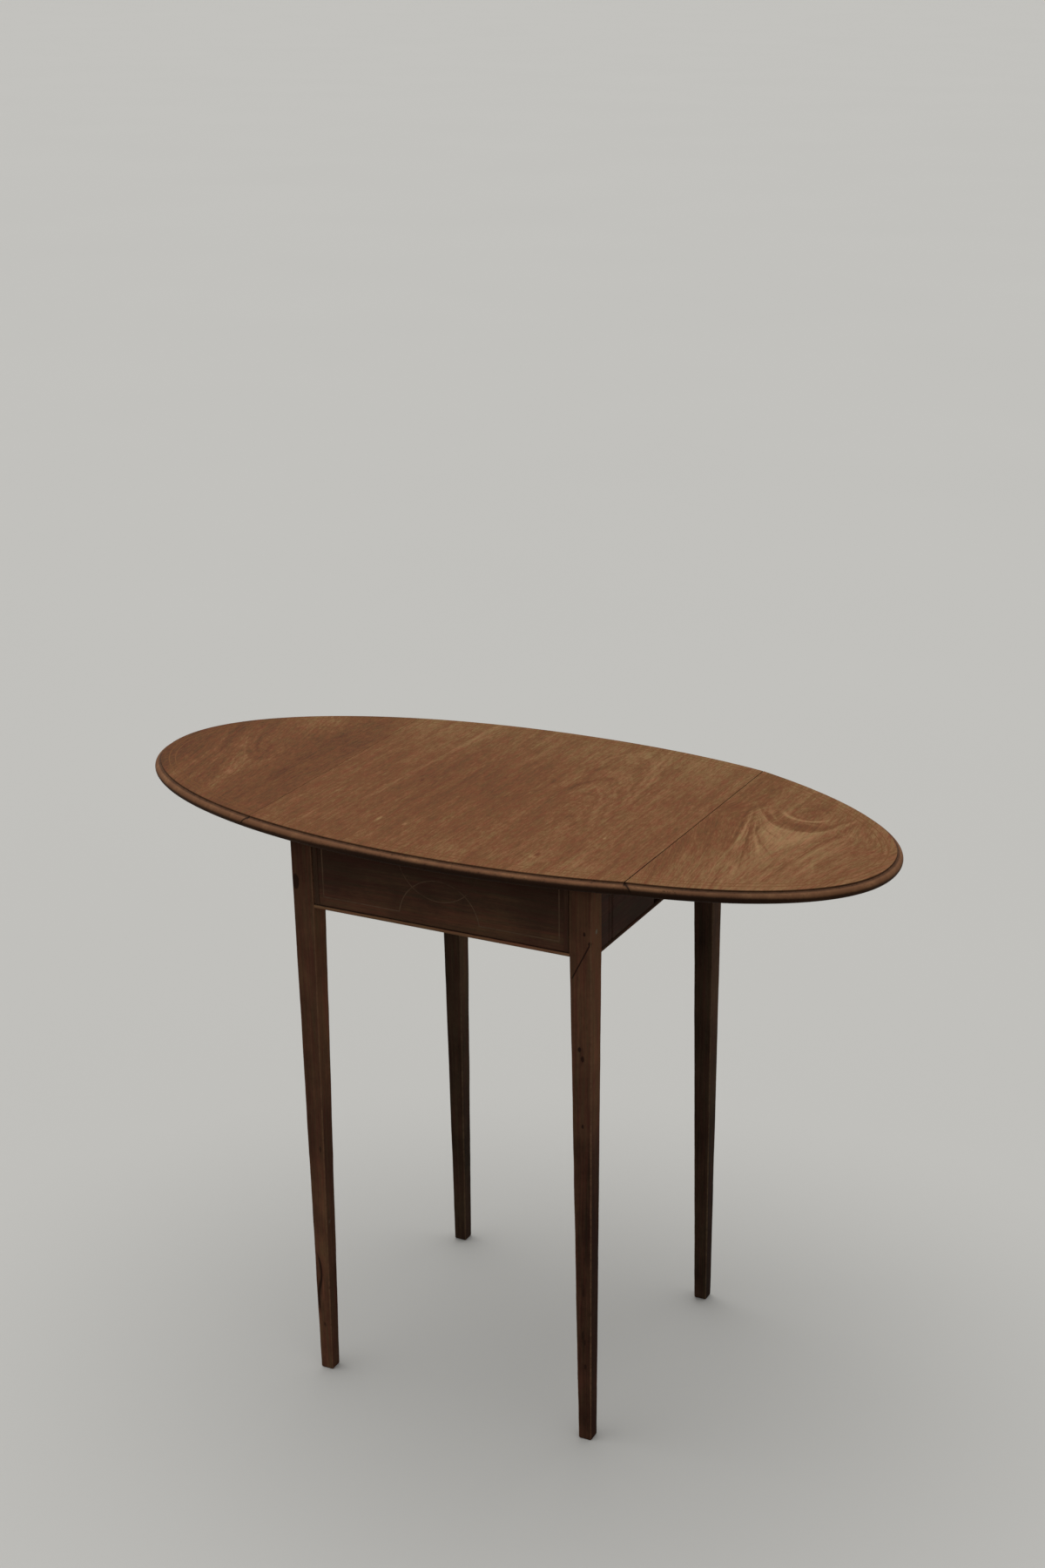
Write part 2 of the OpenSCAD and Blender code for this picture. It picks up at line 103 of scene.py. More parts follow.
def number(name, description, default, **limits):
    return FloatProperty(name=name, description=description, default=default, **limits)


def size(name, description, default):
    return number(name, description, default, subtype="DISTANCE", unit="LENGTH", precision=5)


def angle(name, description, degrees):
    return number(name, description, math.radians(degrees), subtype="ANGLE", unit="ROTATION")


def colour(name, description, default):
    return FloatVectorProperty(name=name, description=description, default=default,
                               subtype="COLOR", size=3, min=0, max=1)


# Settings

class TopSettings(bpy.types.PropertyGroup):
    oval_power: number("Oval squareness", "2 is a true ellipse", 2.07, min=2, max=2.6)
    outline_points: IntProperty(name="Outline points", description="Points round the oval",
                                default=480, min=96, max=1440)
    nose: size("Rounded edge", "How far the rounded edge stands out of the flat", 0.0072)
    step: size("Step", "Depth of the square step inside the rounded edge", 0.002)
    widest: size("Widest line", "Depth below the flat at which the edge is widest", 0.008)
    arris: size("Arris", "Rounding of the worn arrises", 0.00045)
    wear: size("Edge wear", "Depth of the small dents in the rounded edge", 0.00035)
    shoulder: size("Shoulder", "Depth of the square shoulder of the rule joint", 0.0025)
    joint_gap: size("Joint gap", "Clearance in the rule joint", 0.0003)
    line_inset: size("Line inset", "From the edge of the flat to the outer line", 0.0093)
    line_spacing: size("Line spacing", "Between the two inlaid lines", 0.007)
    line_width: size("Line width", "Width of an inlaid line", 0.0012)
    line_depth: size("Line depth", "Depth of an inlaid line", 0.001)
    dark: colour("Dark grain", "Darkest wood of the figure", srgb(70, 42, 24))
    base: colour("Base", "Middle tone of the faded top", srgb(110, 71, 42))
    pale: colour("Pale grain", "Palest wood of the figure", srgb(149, 116, 79))
    edge: colour("Edge", "Rounded edge", srgb(115, 79, 55))
    edge_worn: colour("Worn edge", "Where the edge is rubbed bare", srgb(142, 103, 72))
    # Grime also serves as painted shade on the lower half of the rounded edge and in the step
    grime_and_shade: colour("Grime", "Dirt in the step and joints", srgb(31, 18, 11))
    under: colour("Underside", "Unpolished underside", srgb(108, 76, 53))
    line: colour("Line", "Inlaid line in the top", srgb(116, 77, 47))


class FrameSettings(bpy.types.PropertyGroup):
    foot: size("Foot", "Thickness of a leg at the floor", 0.016)
    leg_arris: size("Leg arris", "Mean rounding of the legs' arrises", 0.0013)
    arris: size("Arris", "Rounding of the smaller pieces' arrises", 0.0004)
    leg_rings: IntProperty(name="Leg rings", description="Rings of points along a leg",
                           default=84, min=20, max=300)
    dark: colour("Dark grain", "Darkest wood of the frame", srgb(54, 35, 26))
    base: colour("Base", "Middle tone of the frame", srgb(98, 68, 50))
    pale: colour("Pale grain", "Palest wood of the frame", srgb(138, 98, 70))
    rubbed: colour("Rubbed arris", "Where an arris is rubbed", srgb(132, 98, 73))
    frieze: colour("Frieze", "Middle tone of the aprons", srgb(83, 60, 46))
    # Painted shade: darkens and greys the back legs' copy of the leg material
    back_painted_shade: colour("Back tint", "What greys the back legs, which have faded less",
                      (0.72, 0.87, 0.92))
    # Painted shade: the brackets' tone is greyed as they stand in shade
    bracket: colour("Bracket", "Middle tone of the swinging brackets", srgb(82, 63, 53))
    strip: colour("Edge strip", "Rounded strip under the aprons", srgb(150, 111, 80))
    line: colour("Line", "Inlaid line in the aprons", srgb(126, 100, 78))
    fleck: colour("Fleck", "Pale knocks on the legs", srgb(148, 137, 119))
    inner: colour("Inner wood", "Plain wood inside the frame", srgb(116, 86, 58))


class MetalSettings(bpy.types.PropertyGroup):
    brass: colour("Brass", "Dull brass of the leaf hinges", srgb(150, 118, 66))
    steel: colour("Steel", "Grey steel of screws and wire", srgb(112, 110, 108))
    tarnish: colour("Tarnish", "Dark film in the hollows", srgb(62, 48, 32))


class StageSettings(bpy.types.PropertyGroup):
    floor: colour("Floor", "Plain pale floor and background", srgb(196, 195, 191))
    bounce: colour("Bounce", "Colour in which the floor throws light back up",
                   srgb(112, 110, 107))
    floor_radius: size("Floor radius", "Reach of the floor", 60)
    camera_place: FloatVectorProperty(name="Camera", description="Place of the camera",
                                      default=(1.1356, -2.1882, 1.5751), size=3,
                                      subtype="XYZ", unit="LENGTH")
    azimuth: angle("Azimuth", "Camera's turn about the table", 24.882)
    elevation: angle("Elevation", "Camera's tilt down", 26.605)
    roll: angle("Roll", "Camera's roll", 0.286)
    focal: number("Focal length", "In picture heights", 2694.456 / PICTURE_HEIGHT, min=0.2,
                  max=10)
    shift_x: number("Shift X", "In picture heights",
                    (PICTURE_WIDTH / 2 - 701.342) / PICTURE_HEIGHT)
    shift_y: number("Shift Y", "In picture heights",
                    (1243.273 - PICTURE_HEIGHT / 2) / PICTURE_HEIGHT)
    lamp: number("Lamp", "Strength of the soft overhead light", 2.2, min=0, max=10)
    softness: angle("Softness", "Angle that the overhead light fills", 80)
    sky: number("Sky", "Strength of the even light all round", 0.3, min=0, max=2)


class TableSettings(bpy.types.PropertyGroup):
    top: PointerProperty(type=TopSettings)
    frame: PointerProperty(type=FrameSettings)
    metal: PointerProperty(type=MetalSettings)
    stage: PointerProperty(type=StageSettings)


# Shader fields

def arithmetic(operation, swapped=False):
    """A method that joins a field and another value by one of Blender's math operations."""
    def joined(field, other):
        pair = (other, field) if swapped else (field, other)
        return field.graph.math(operation, *pair)
    return joined


class Field:
    """A number that varies over a surface, with ordinary arithmetic."""

    __add__, __radd__ = arithmetic("ADD"), arithmetic("ADD", swapped=True)
    __sub__, __rsub__ = arithmetic("SUBTRACT"), arithmetic("SUBTRACT", swapped=True)
    __mul__, __rmul__ = arithmetic("MULTIPLY"), arithmetic("MULTIPLY", swapped=True)
    __truediv__ = arithmetic("DIVIDE")
    __pow__ = arithmetic("POWER")
    at_least = arithmetic("MAXIMUM")

    def __init__(self, graph, socket):
        self.graph, self.socket = graph, socket

    def __neg__(self):
        return self * -1

    def __abs__(self):
        return self.graph.math("ABSOLUTE", self)

    def log(self):
        return self.graph.math("LOGARITHM", self, math.e)

    def fading(self):
        """1 where the field is 0, falling to nothing as it grows."""
        return self.graph.math("EXPONENT", -self)

    def bell(self, width):
        """1 where the field is 0, falling to nothing over the width to both sides."""
        near = self / width
        return (near * near).fading()

    def rise(self, low, high):
        """0 below low, 1 above high, smooth between."""
        made = self.graph.node("ShaderNodeMapRange", interpolation_type="SMOOTHSTEP")
        for socket, number in zip(made.inputs, (self, low, high)):
            self.graph.feed(socket, number)
        return Field(self.graph, made.outputs[0])


class Graph:
    """Builds one procedural material. Places are fields in millimetres."""

    def __init__(self, name):
        self.material = bpy.data.materials.new(name)
        self.material.use_nodes = True
        self.tree = self.material.node_tree
        self.tree.nodes.clear()
        self.x, self.y, self.z = (Field(self, out) * 1000 for out in self.split("Object"))

    def node(self, kind, **settings):
        made = self.tree.nodes.new(kind)
        for key, value in settings.items():
            setattr(made, key, value)
        return made

    def split(self, coordinate):
        """The three parts of one of Blender's texture coordinates."""
        split = self.node("ShaderNodeSeparateXYZ")
        self.tree.links.new(self.node("ShaderNodeTexCoord").outputs[coordinate], split.inputs[0])
        return split.outputs

    def feed(self, socket, value):
        if isinstance(value, Field):
            self.tree.links.new(value.socket, socket)
        elif isinstance(value, bpy.types.NodeSocket):
            self.tree.links.new(value, socket)
        elif hasattr(value, "__len__") and len(value) == 3 and socket.type == "RGBA":
            socket.default_value = (*value, 1)
        else:
            socket.default_value = value

    def math(self, operation, *values):
        made = self.node("ShaderNodeMath", operation=operation)
        for socket, value in zip(made.inputs, values):
            self.feed(socket, value)
        return Field(self, made.outputs[0])

    def noise(self, x, y, z, detail=3, roughness=0.6):
        """Noise about 0, mostly from -0.5 to 0.5, over a place in its own cells."""
        join = self.node("ShaderNodeCombineXYZ")
        for socket, value in zip(join.inputs, (x, y, z)):
            self.feed(socket, value)
        made = self.node("ShaderNodeTexNoise")
        self.tree.links.new(join.outputs[0], made.inputs["Vector"])
        for name, value in (("Scale", 1), ("Detail", detail), ("Roughness", roughness)):
            made.inputs[name].default_value = value
        return Field(self, made.outputs[0]) - 0.5

    def facing_right(self):
        """1 on faces that look toward +X."""
        return Field(self, self.split("Normal")[0]).rise(0.3, 0.9)

    def attribute(self, name):
        made = self.node("ShaderNodeAttribute", attribute_name=name)
        return Field(self, made.outputs["Fac"])

    def ramp(self, value, shades):
        """The first shade at 0, the second at 0.5 and the third at 1."""
        made = self.node("ShaderNodeValToRGB")
        self.feed(made.inputs[0], value)
        elements = made.color_ramp.elements
        elements.new(0.5)
        for element, place, shade in zip(elements, (0, 0.5, 1), shades):
            element.position = place
            element.color = (*shade, 1)
        return made.outputs[0]

    def warm_ramp(self, value, shades, amount):
        """A ramp of three shades, ruddier at an amount of 0 and tawnier at 1."""
        ruddy, tawny = (self.ramp(value, [tinted(shade, tint) for shade in shades])
                        for tint in ((1.08, 0.87, 0.95), (0.95, 1.09, 1.04)))
        return self.mix(ruddy, tawny, amount)

    def mix(self, first, second, amount):
        made = self.node("ShaderNodeMix", data_type="RGBA", clamp_factor=True)
        self.feed(made.inputs[0], amount)
        self.feed(made.inputs[6], first)
        self.feed(made.inputs[7], second)
        return made.outputs[2]

    def finish(self, shade, roughness, height=None, relief=0.0002, metallic=0, specular=0.07):
        shader = self.node("ShaderNodeBsdfPrincipled")
        self.feed(shader.inputs["Base Color"], shade)
        self.feed(shader.inputs["Roughness"], roughness)
        shader.inputs["Metallic"].default_value = metallic
        shader.inputs["Specular IOR Level"].default_value = specular
        if height is not None:
            bump = self.node("ShaderNodeBump")
            bump.inputs["Strength"].default_value = 0.35
            bump.inputs["Distance"].default_value = relief
            self.feed(bump.inputs["Height"], height)
            self.tree.links.new(bump.outputs[0], shader.inputs["Normal"])
        out = self.node("ShaderNodeOutputMaterial")
        self.tree.links.new(shader.outputs[0], out.inputs[0])
        return self.material


# Figure and marks, by their places on the table in millimetres. A line of the figure has
# three places (x, y) on its curve, a width and how much paler it is; a spot has a middle,
# two half widths and how much paler it is

RIGHT_LEAF_LINES = (
    (256, 62, 268, 0, 277, -62, 2.6, -0.16), (260, 60, 272, 8, 281, -52, 2.1, 0.2),
    (265, 54, 280, 0, 303, -58, 1.9, -0.15), (276, 12, 284, -30, 299, -90, 1.9, 0.13),
    (275, 44, 287, 0, 312, -42, 2.2, 0.16), (277, 38, 291, 0, 322, -42, 2.1, -0.17),
    (281, 36, 290, 22, 306, 10, 1.8, -0.12), (271, 70, 279, 58, 291, 46, 3, -0.1),
    (279, 78, 286, 60, 298, 49, 2.4, 0.2), (290, 74, 293, 63, 305, 58, 2, -0.08),
    (270, 104, 264, 86, 258, 70, 3, -0.08), (365, 100, 351, 74, 343, 48, 3, -0.13),
    (371, 106, 359, 76, 348, 46, 3.2, 0.15), (368, 76, 355, 0, 343, -90, 2.5, -0.15),
    (373, 50, 362, 6, 351, -54, 3.2, 0.09), (378, 30, 372, -15, 364, -76, 3.4, 0.12),
    (387, 8, 384, -20, 377, -66, 2.2, -0.1), (289, 2, 303, -32, 322, -62, 1.9, 0.08),
    (286, -20, 299, -62, 309, -101, 2, -0.12), (300, -88, 306, -108, 311, -130, 4, 0.09),
    (367, -40, 374, -56, 378, -72, 1.8, 0.12), (347, -88, 344, -100, 342, -114, 3, -0.1),
    (266, 88, 273, 64, 282, 45, 1.7, 0.12), (395, 82, 403, 62, 410, 44, 1.6, 0.09),
    (414, 58, 420, 42, 425, 24, 1.6, 0.07))
LEFT_LEAF_LINES = (
    (-358, 62, -347, 22, -328, -5, 2.6, -0.16), (-363, 52, -352, 18, -340, -18, 3.2, 0.12),
    (-368, -15, -362, -50, -350, -104, 2.8, 0.09), (-373, -32, -366, -65, -353, -118, 2.8, -0.08),
    (-350, -38, -344, -72, -331, -106, 2.6, -0.11), (-340, -8, -337, -38, -335, -68, 2.2, -0.1),
    (-284, -48, -286, -80, -293, -124, 2.6, 0.08), (-402, 42, -387, 5, -379, -24, 3, 0.13),
    (-378, -55, -374, -78, -371, -104, 2.6, 0.1), (-382, 20, -373, -14, -354, -84, 2.6, -0.11),
    (-369, -23, -358, -54, -338, -88, 2.4, 0.09), (-338, -76, -330, -92, -322, -112, 2.2, -0.12),
    (-410, 20, -402, -20, -388, -62, 3, -0.07), (-400, -30, -390, -64, -376, -96, 2.4, 0.07))
MIDDLE_LINES = (
    (46, 138, 52, 163, 66, 184, 3, 0.1), (84, 177, 99, 154, 111, 124, 2.6, 0.12),
    (111, 124, 115, 106, 119, 86, 2.4, 0.07), (114, 99, 124, 49, 139, -30, 2.2, 0.1),
    (86, 98, 98, 62, 106, 10, 3.4, 0.1), (106, 10, 113, -28, 127, -62, 2.8, 0.1),
    (67, 62, 60, 34, 47, -2, 2.6, 0.09), (72, 60, 88, 38, 101, 2, 2.4, 0.13),
    (101, 2, 108, -20, 114, -42, 2.2, 0.08), (72, 36, 86, 16, 96, -18, 2.2, 0.08),
    (66, 78, 52, 50, 44, 14, 3, -0.08), (80, 78, 98, 50, 111, 4, 2.4, -0.1),
    (-26, 180, -31, 132, -37, 76, 3.6, 0.08), (22, 184, 27, 142, 24, 92, 3.4, 0.06),
    (-44, 128, -48, 84, -52, 30, 3, -0.06))
RIGHT_LEAF_SPOTS = ((322, 108, 46, 26, -0.05), (366, -6, 17, 48, 0.09), (258, 145, 30, 26, -0.09))
LEFT_LEAF_SPOTS = ((-320, 118, 34, 30, 0.07), (-319, -62, 18, 42, 0.015), (-290, -112, 40, 30, 0.05))
TOP_SCUFFS = (
    (77, -140, 3, 12, -0.22), (78, -174, 8, 14, 0.12), (109, -158, 2.2, 5, -0.45),
    (107, -166, 3.4, 4.5, 0.3), (-92, -136, 2, 6.5, 0.6), (-59, -139, 1.6, 3.8, 0.5),
    (-110, -8, 1.6, 4, -0.36), (104, -64, 1.6, 9, -0.3), (78, -66, 1.5, 12, 0.3),
    (152, -86, 1.4, 3, 0.5), (208, -28, 1.8, 4, -0.3), (-30, 40, 1.2, 3, -0.3))
# Marks on the legs have a middle (x, y, z), half width and height, and how much paler
LEG_KNOTS = (
    (166, -177, 496, 1.6, 2.8, -0.6), (169.8, -177, 485.5, 1.9, 3.4, -0.55),
    (169, -177, 490, 2.6, 11, -0.16), (169.7, -177, 405, 1.3, 2.6, -0.5),
    (170.5, -177, 196, 1.2, 4, -0.4), (169.8, -177, 140, 1.5, 5, -0.5),
    (171.8, -177, 131, 1.2, 3.6, -0.4), (170.5, -177, 165, 3.2, 48, -0.12),
    (173, -177, 99, 1.3, 3, -0.5), (171.9, -177, 629, 1.5, 2.3, -0.6),
    (178.4, -177, 618.6, 1.8, 2.6, -1.3), (-175.5, -177, 628, 3.6, 8, -0.9),
    (-171.5, -177, 62, 1.6, 3, -0.3), (-164, -177, 300, 1.6, 4, -0.3),
    (172, 177, 420, 2.4, 5, -0.5), (-180, 168, 250, 2.4, 6, -0.5))
LEG_FLECKS = ((180, -164.7, 629, 1.4, 2.6, 1), (-162.5, -171, 203, 2, 3.4, 0.3))
LEG_CRACK = (
    (-174.6, 152, -172.2, 134, -174.6, 114, 1.1, -1.1),
    (-174.9, 119, -177.2, 103, -177, 84, 1.1, -1.1),
    (-171.4, 128, -171.2, 112, -173.2, 94, 1.5, 0.3))


def fine_grain(g, across, along, other, seed=0):
    """Streaks, pores and mottle of mahogany. Returns tone and pores."""
    wander = g.noise(across * 0.012, along * 0.004, other * 0.012 + seed, 2, 0.5) * 9
    line = across + wander
    streaks = g.noise(line * 0.42, along * 0.009, other * 0.42 + seed, 4, 0.68)
    bands = g.noise(line * 0.055, along * 0.0016, other * 0.055 + seed + 7, 2, 0.5)
    mottle = g.noise(across * 0.05, along * 0.02, other * 0.05 + seed + 3, 4, 0.6)
    pores = g.noise(line * 2.3, along * 0.11, other * 2.3 + seed, 1, 0.5).rise(0.1, 0.22)
    return streaks * 0.7 + bands * 0.5 + mottle * 0.5, pores


def draped(g, x, y, centre, top, half, swell, depth):
    """Crotch figure: growth lines that hang like cloth between two points.
    Returns how deep the line at a place hangs, and how far out the place is."""
    sway = g.noise(x * 0.03, y * 0.03, 4) * 9
    out = (x + sway - centre) / half
    near = abs(out).at_least(0.001)
    first = ((top - y) / (1 - near ** 1.4).at_least(0.04)).at_least(0.5)
    power = 0.95 + (first - depth).bell(45) * swell
    hang = ((top - y + sway * 0.5) / (1 - near ** power).at_least(0.02)).at_least(0.5)
    return hang, out


def grown_lines(across, along, rows):
    """Curved lines through three places each, which fade beyond the first and last."""
    total = 0
    for a0, b0, a1, b1, a2, b2, width, paler in rows:
        lean = (a1 - a0) / (b1 - b0)
        bow = ((a2 - a1) / (b2 - b1) - lean) / (b2 - b0)
        bend = lean - bow * (b0 + b1)
        start = a0 - lean * b0 + bow * b0 * b1
        aside = (across - (along * (along * bow + bend) + start)) / width
        beyond = (along - (b0 + b2) / 2) / (abs(b2 - b0) * 0.56)
        beyond = beyond * beyond
        total = total + (aside * aside + beyond * beyond).fading() * paler
    return total


def soft_spots(x, y, rows):
    """Round or long spots that fade into the wood about them."""
    total = 0
    for middle_x, middle_y, wide, tall, paler in rows:
        total = total + (x - middle_x).bell(wide) * (y - middle_y).bell(tall) * paler
    return total


def right_leaf_figure(g, x, y):
    """Pale flame under a dark crotch, with fine lines running down from it."""
    hang, out = draped(g, x, y, centre=314, top=95, half=62, swell=1.5, depth=48)
    inside = (1 - abs(out).rise(0.84, 1.08)) * (95 - y).rise(-10, 10)
    lines = g.noise(hang.log() * 9.5, out * 0.5, 9, 6, 0.78)
    lines = lines * (0.5 + (1 - out.rise(-0.3, 0.1)) * 0.5)
    lines = lines * hang.rise(20, 75) * (1 - hang.rise(260, 800))
    flame = hang.rise(56, 66) * (1 - hang.rise(88, 175) * 0.72 - hang.rise(150, 260) * 0.28)
    flame = flame * (1 - out.rise(0.36, 0.62)) * (0.18 + out.rise(-0.72, -0.2) * 0.82)
    dark_band = (hang - 46).bell(9) * (1 - abs(out).rise(0.6, 0.95))
    bowl = ((x - 317) * (x - 317) + (y - 94) * (y - 94)) ** 0.5
    cup = (bowl - 27 + (x - 317) * 0.12).bell(2.7) * (86 - y).rise(-4, 12)
    eye = g.noise(bowl * 0.17 + y * 0.02, 0, 14, 3, 0.7) * (1 - bowl.rise(30, 48)) * y.rise(62, 80)
    waver = g.noise(x * 0.06, y * 0.03, 8) * 4
    # These two lie across the cup, so their places are (y, x)
    level = grown_lines(y, x, ((56, 306, 60, 319, 61, 333, 2, 0.09),
                               (64, 299, 65, 315, 67, 332, 2, -0.08)))
    fan = (x - 322) * (1 - y * 0.0035)
    strands = g.noise(fan * 0.5, y * 0.02, 61, 4, 0.75) * x.rise(238, 264) * (1 - y.rise(20, 80))
    broad = ((x - 250).bell(19) * y.rise(-130, -20) * -0.12 + (x - 232).bell(11) * -0.1
             + (x - 315).bell(62) * (1 - y.rise(-110, 0)) * 0.07)
    return ((flame * 0.34 + cup * 0.36 + lines - dark_band * 0.11) * inside + eye * 0.5
            + grown_lines(x + waver, y, RIGHT_LEAF_LINES) + level + strands * 0.36 + broad
            + soft_spots(x, y, RIGHT_LEAF_SPOTS) + 0.12)


def left_leaf_figure(g, x, y):
    """The same figure, fainter, with a dark band beside the joint."""
    hang, out = draped(g, x, y, centre=-320, top=70, half=64, swell=1, depth=70)
    inside = (1 - abs(out).rise(0.85, 1.15)) * (70 - y).rise(-6, 14)
    inside = inside * (1 - out.rise(-0.1, 0.6) * 0.75)
    lines = g.noise(hang.log() * 6.5, out * 0.5, 21, 5, 0.7)
    flame = hang.rise(90, 110) * (1 - hang.rise(140, 220))
    waver = g.noise(x * 0.05, y * 0.03, 28) * 5
    outer = x + 388 + y * 0.27 + y * y * 0.0009
    broad = (outer.bell(4) * (y + 30).bell(62) * 0.14 - (1 - x.rise(-400, -360)) * 0.15
             - (x + 264).bell(30) * 0.15)
    return ((flame * 0.1 + lines * 0.45 - (hang - 72).bell(6) * 0.03) * inside
            + grown_lines(x + waver, y, LEFT_LEAF_LINES) + broad
            + soft_spots(x, y, LEFT_LEAF_SPOTS) - 0.04)


def middle_figure(g, x, y):
    """Arched figure with its points toward the back, and a few long pale streaks."""
    wave = g.noise(x * 0.02, y * 0.012, 2) * 12
    off = x - 77 + wave * 0.8
    arch = y + wave + off * off * 0.04
    rings = g.noise(arch * 0.055, off * 0.012, 5, 6, 0.78)
    arches = (rings * 0.72 + (arch - 181).bell(8) * 0.07 + (arch - 113).bell(7) * 0.085
              - (arch - 84).bell(6) * 0.05 + (arch - 63).bell(9) * 0.08)
    arches = arches * (x - 84).bell(50) * y.rise(-120, 20)
    waver = g.noise(x * 0.06, y * 0.03, 18) * 5
    right_side = x - 112 - (180 - y) * 0.12 + wave * 0.3
    pair = (right_side.bell(2.6) + (right_side + 8).bell(2) * 0.7) * y.rise(-20, 60)
    streak = x + 130 - (y - 60) * 0.045
    broken = 0.15 + g.noise(x * 0.3, y * 0.03, 6, 3, 0.5) * 0.3
    streak = (streak.bell(3.2) * y.rise(-108, -60) * broken
              + (streak - 3).bell(8) * y.rise(70, 140) * 0.09)
    broad = (x + 40).bell(70) * (y + 20).bell(90) * -0.07 + (x - 195).bell(60) * 0.06
    return arches + grown_lines(x + waver, y, MIDDLE_LINES) + pair * 0.15 + streak + broad + 0.02


# Materials

def top_material(settings, oval):
    """Faded mahogany with a crotch figure in each leaf and an arched one in the middle."""
    g = Graph("faded_mahogany")
    x, y = g.x, g.y
    joint_x = hinge_axis("right")[0] / MM
    in_leaf = abs(x).rise(joint_x - 0.1, joint_x + 0.3)
    rightward = x.rise(-1, 1)
    # The grain leans in toward the foot of each leaf's figure
    lean = in_leaf * (rightward * (322 - x) * (1 - y.rise(10, 90)) * 0.0035
                      + (1 - rightward) * (1 - x.rise(-330, -240)) * 0.2) * y
    across = x + lean
    tone, pores = fine_grain(g, across, y, g.z * 0.3)
    figure = (middle_figure(g, x, y) * (1 - in_leaf)
              + right_leaf_figure(g, x, y) * in_leaf * rightward
              + left_leaf_figure(g, x, y) * in_leaf * (1 - rightward))
    fade = y.rise(60, 190) * 0.08 + (1 - y.rise(-190, -60)) * 0.03
    nicks = g.noise(x * 0.25, y * 0.25, g.z * 0.25, 3, 0.65)
    rough = g.noise(x * 0.4, y * 0.2, 3, 3, 0.7)
    scuffs = soft_spots(x + rough * 4, y, TOP_SCUFFS) * (0.75 + rough)
    speck = g.noise(across * 0.36, y * 0.085, 12, 4, 0.8)
    cloudy = g.noise(across * 0.085, y * 0.025, 37, 3, 0.65)
    strand = g.noise((across + nicks * 4) * 0.8, y * 0.035, 52, 4, 0.8)
    value = (0.48 + tone * 0.68 + figure + fade + scuffs - pores * 0.14 + nicks * 0.16
             + speck * (0.84 + in_leaf * (1 - rightward) * 0.2) + strand * 0.5 + cloudy * 0.24)
    warmth = g.noise(across * 0.16, y * 0.035, 44, 4, 0.75)
    flat = g.warm_ramp(value, (settings.dark, settings.base, settings.pale),
                       0.5 + warmth * 3 + y.rise(40, 200) * 0.22)

    # Below the flat the depth attribute tells the step, the rounded edge and the underside
    depth = g.attribute("depth")
    shade = g.mix(flat, rounded_edge(g, settings, depth, tone, nicks), depth.rise(0.05, 0.5))
    # The step's wall and corner are darkened: dirt, and painted shade
    step_dirt_and_shade = depth.rise(0.4, 1.1) * (1 - depth.rise(2.2, 2.9))
    shade = g.mix(shade, settings.grime_and_shade, step_dirt_and_shade * (0.6 + nicks * 0.8))
    under = g.mix(settings.under, settings.grime_and_shade, 0.25 + tone * 0.8)
    shade = g.mix(shade, under, depth.rise(12.6, 13.6))
    shade = g.mix(shade, settings.grime_and_shade, joint_dirt(g, settings, oval, depth, rightward) * 0.9)
    return g.finish(shade, 0.72 + tone * 0.12 + nicks * 0.06, tone * 0.8 - pores * 0.6 + nicks * 0.2)


def rounded_edge(g, settings, depth, tone, nicks):
    """Rubbed bare along its height, with dirt in its dents, and painted shade on its lower half,
    most toward the front and at the right of the front.
    """
    x, y = g.x, g.y
    rubbed = g.noise(x * 0.03, y * 0.03, 1, 4, 0.65).rise(-0.06, 0.16)
    edge = g.mix(settings.edge, settings.edge_worn, rubbed * (0.5 + nicks * 3 + tone))
    # Painted shade: the lower half of the edge is darkened, from higher up toward the front, and
    # more again at the right of the front
    front = (1 - y.rise(-185, -95)) * x.rise(-160, -60) * (1 - x.rise(360, 430))
    low = (depth + nicks * 2 + front * 1.9).rise(5.4, 8.6) * (0.8 + front * 0.12)
    right_end_shade = (x - 330).bell(80) * (1 - y.rise(-160, -90))
    for grime_and_shade in (nicks.rise(0.1, 0.26) * 0.6, low, right_end_shade * 0.3):
        edge = g.mix(edge, settings.grime_and_shade, grime_and_shade)
    return edge


def joint_dirt(g, settings, oval, depth, rightward):
    """Dirt in the rule joint, which turns about the hinge."""
    axis = hinge_axis("right")
    axis_x, axis_z = axis[0] / MM, axis[1] / MM
    radius = rule_joint(oval, settings, axis)[0] / MM
    side, y = abs(g.x), g.y
    reach = ((side - axis_x) * (side - axis_x) + (g.z - axis_z) * (g.z - axis_z)) ** 0.5
    upright = (side - axis_x - 0.15).bell(0.4 + depth.rise(0.5, 2) * 0.6)
    upright = upright * reach.rise(radius, radius + 0.6)
    upright = upright * (0.12 + (1 - y.rise(-150, -30)) * (0.3 + rightward * 0.7)
                         + depth.rise(1.5, 2.5) * 0.15)
    curved = (reach - radius - 0.15).bell(0.8) * side.rise(axis_x - 0.6, axis_x + 0.2)
    curved = curved * (1 - depth.rise(7.5, 9.5))
    return upright + curved * (1 - y.rise(-150, -30) * (1 - depth.rise(3, 4.5) * 0.5))


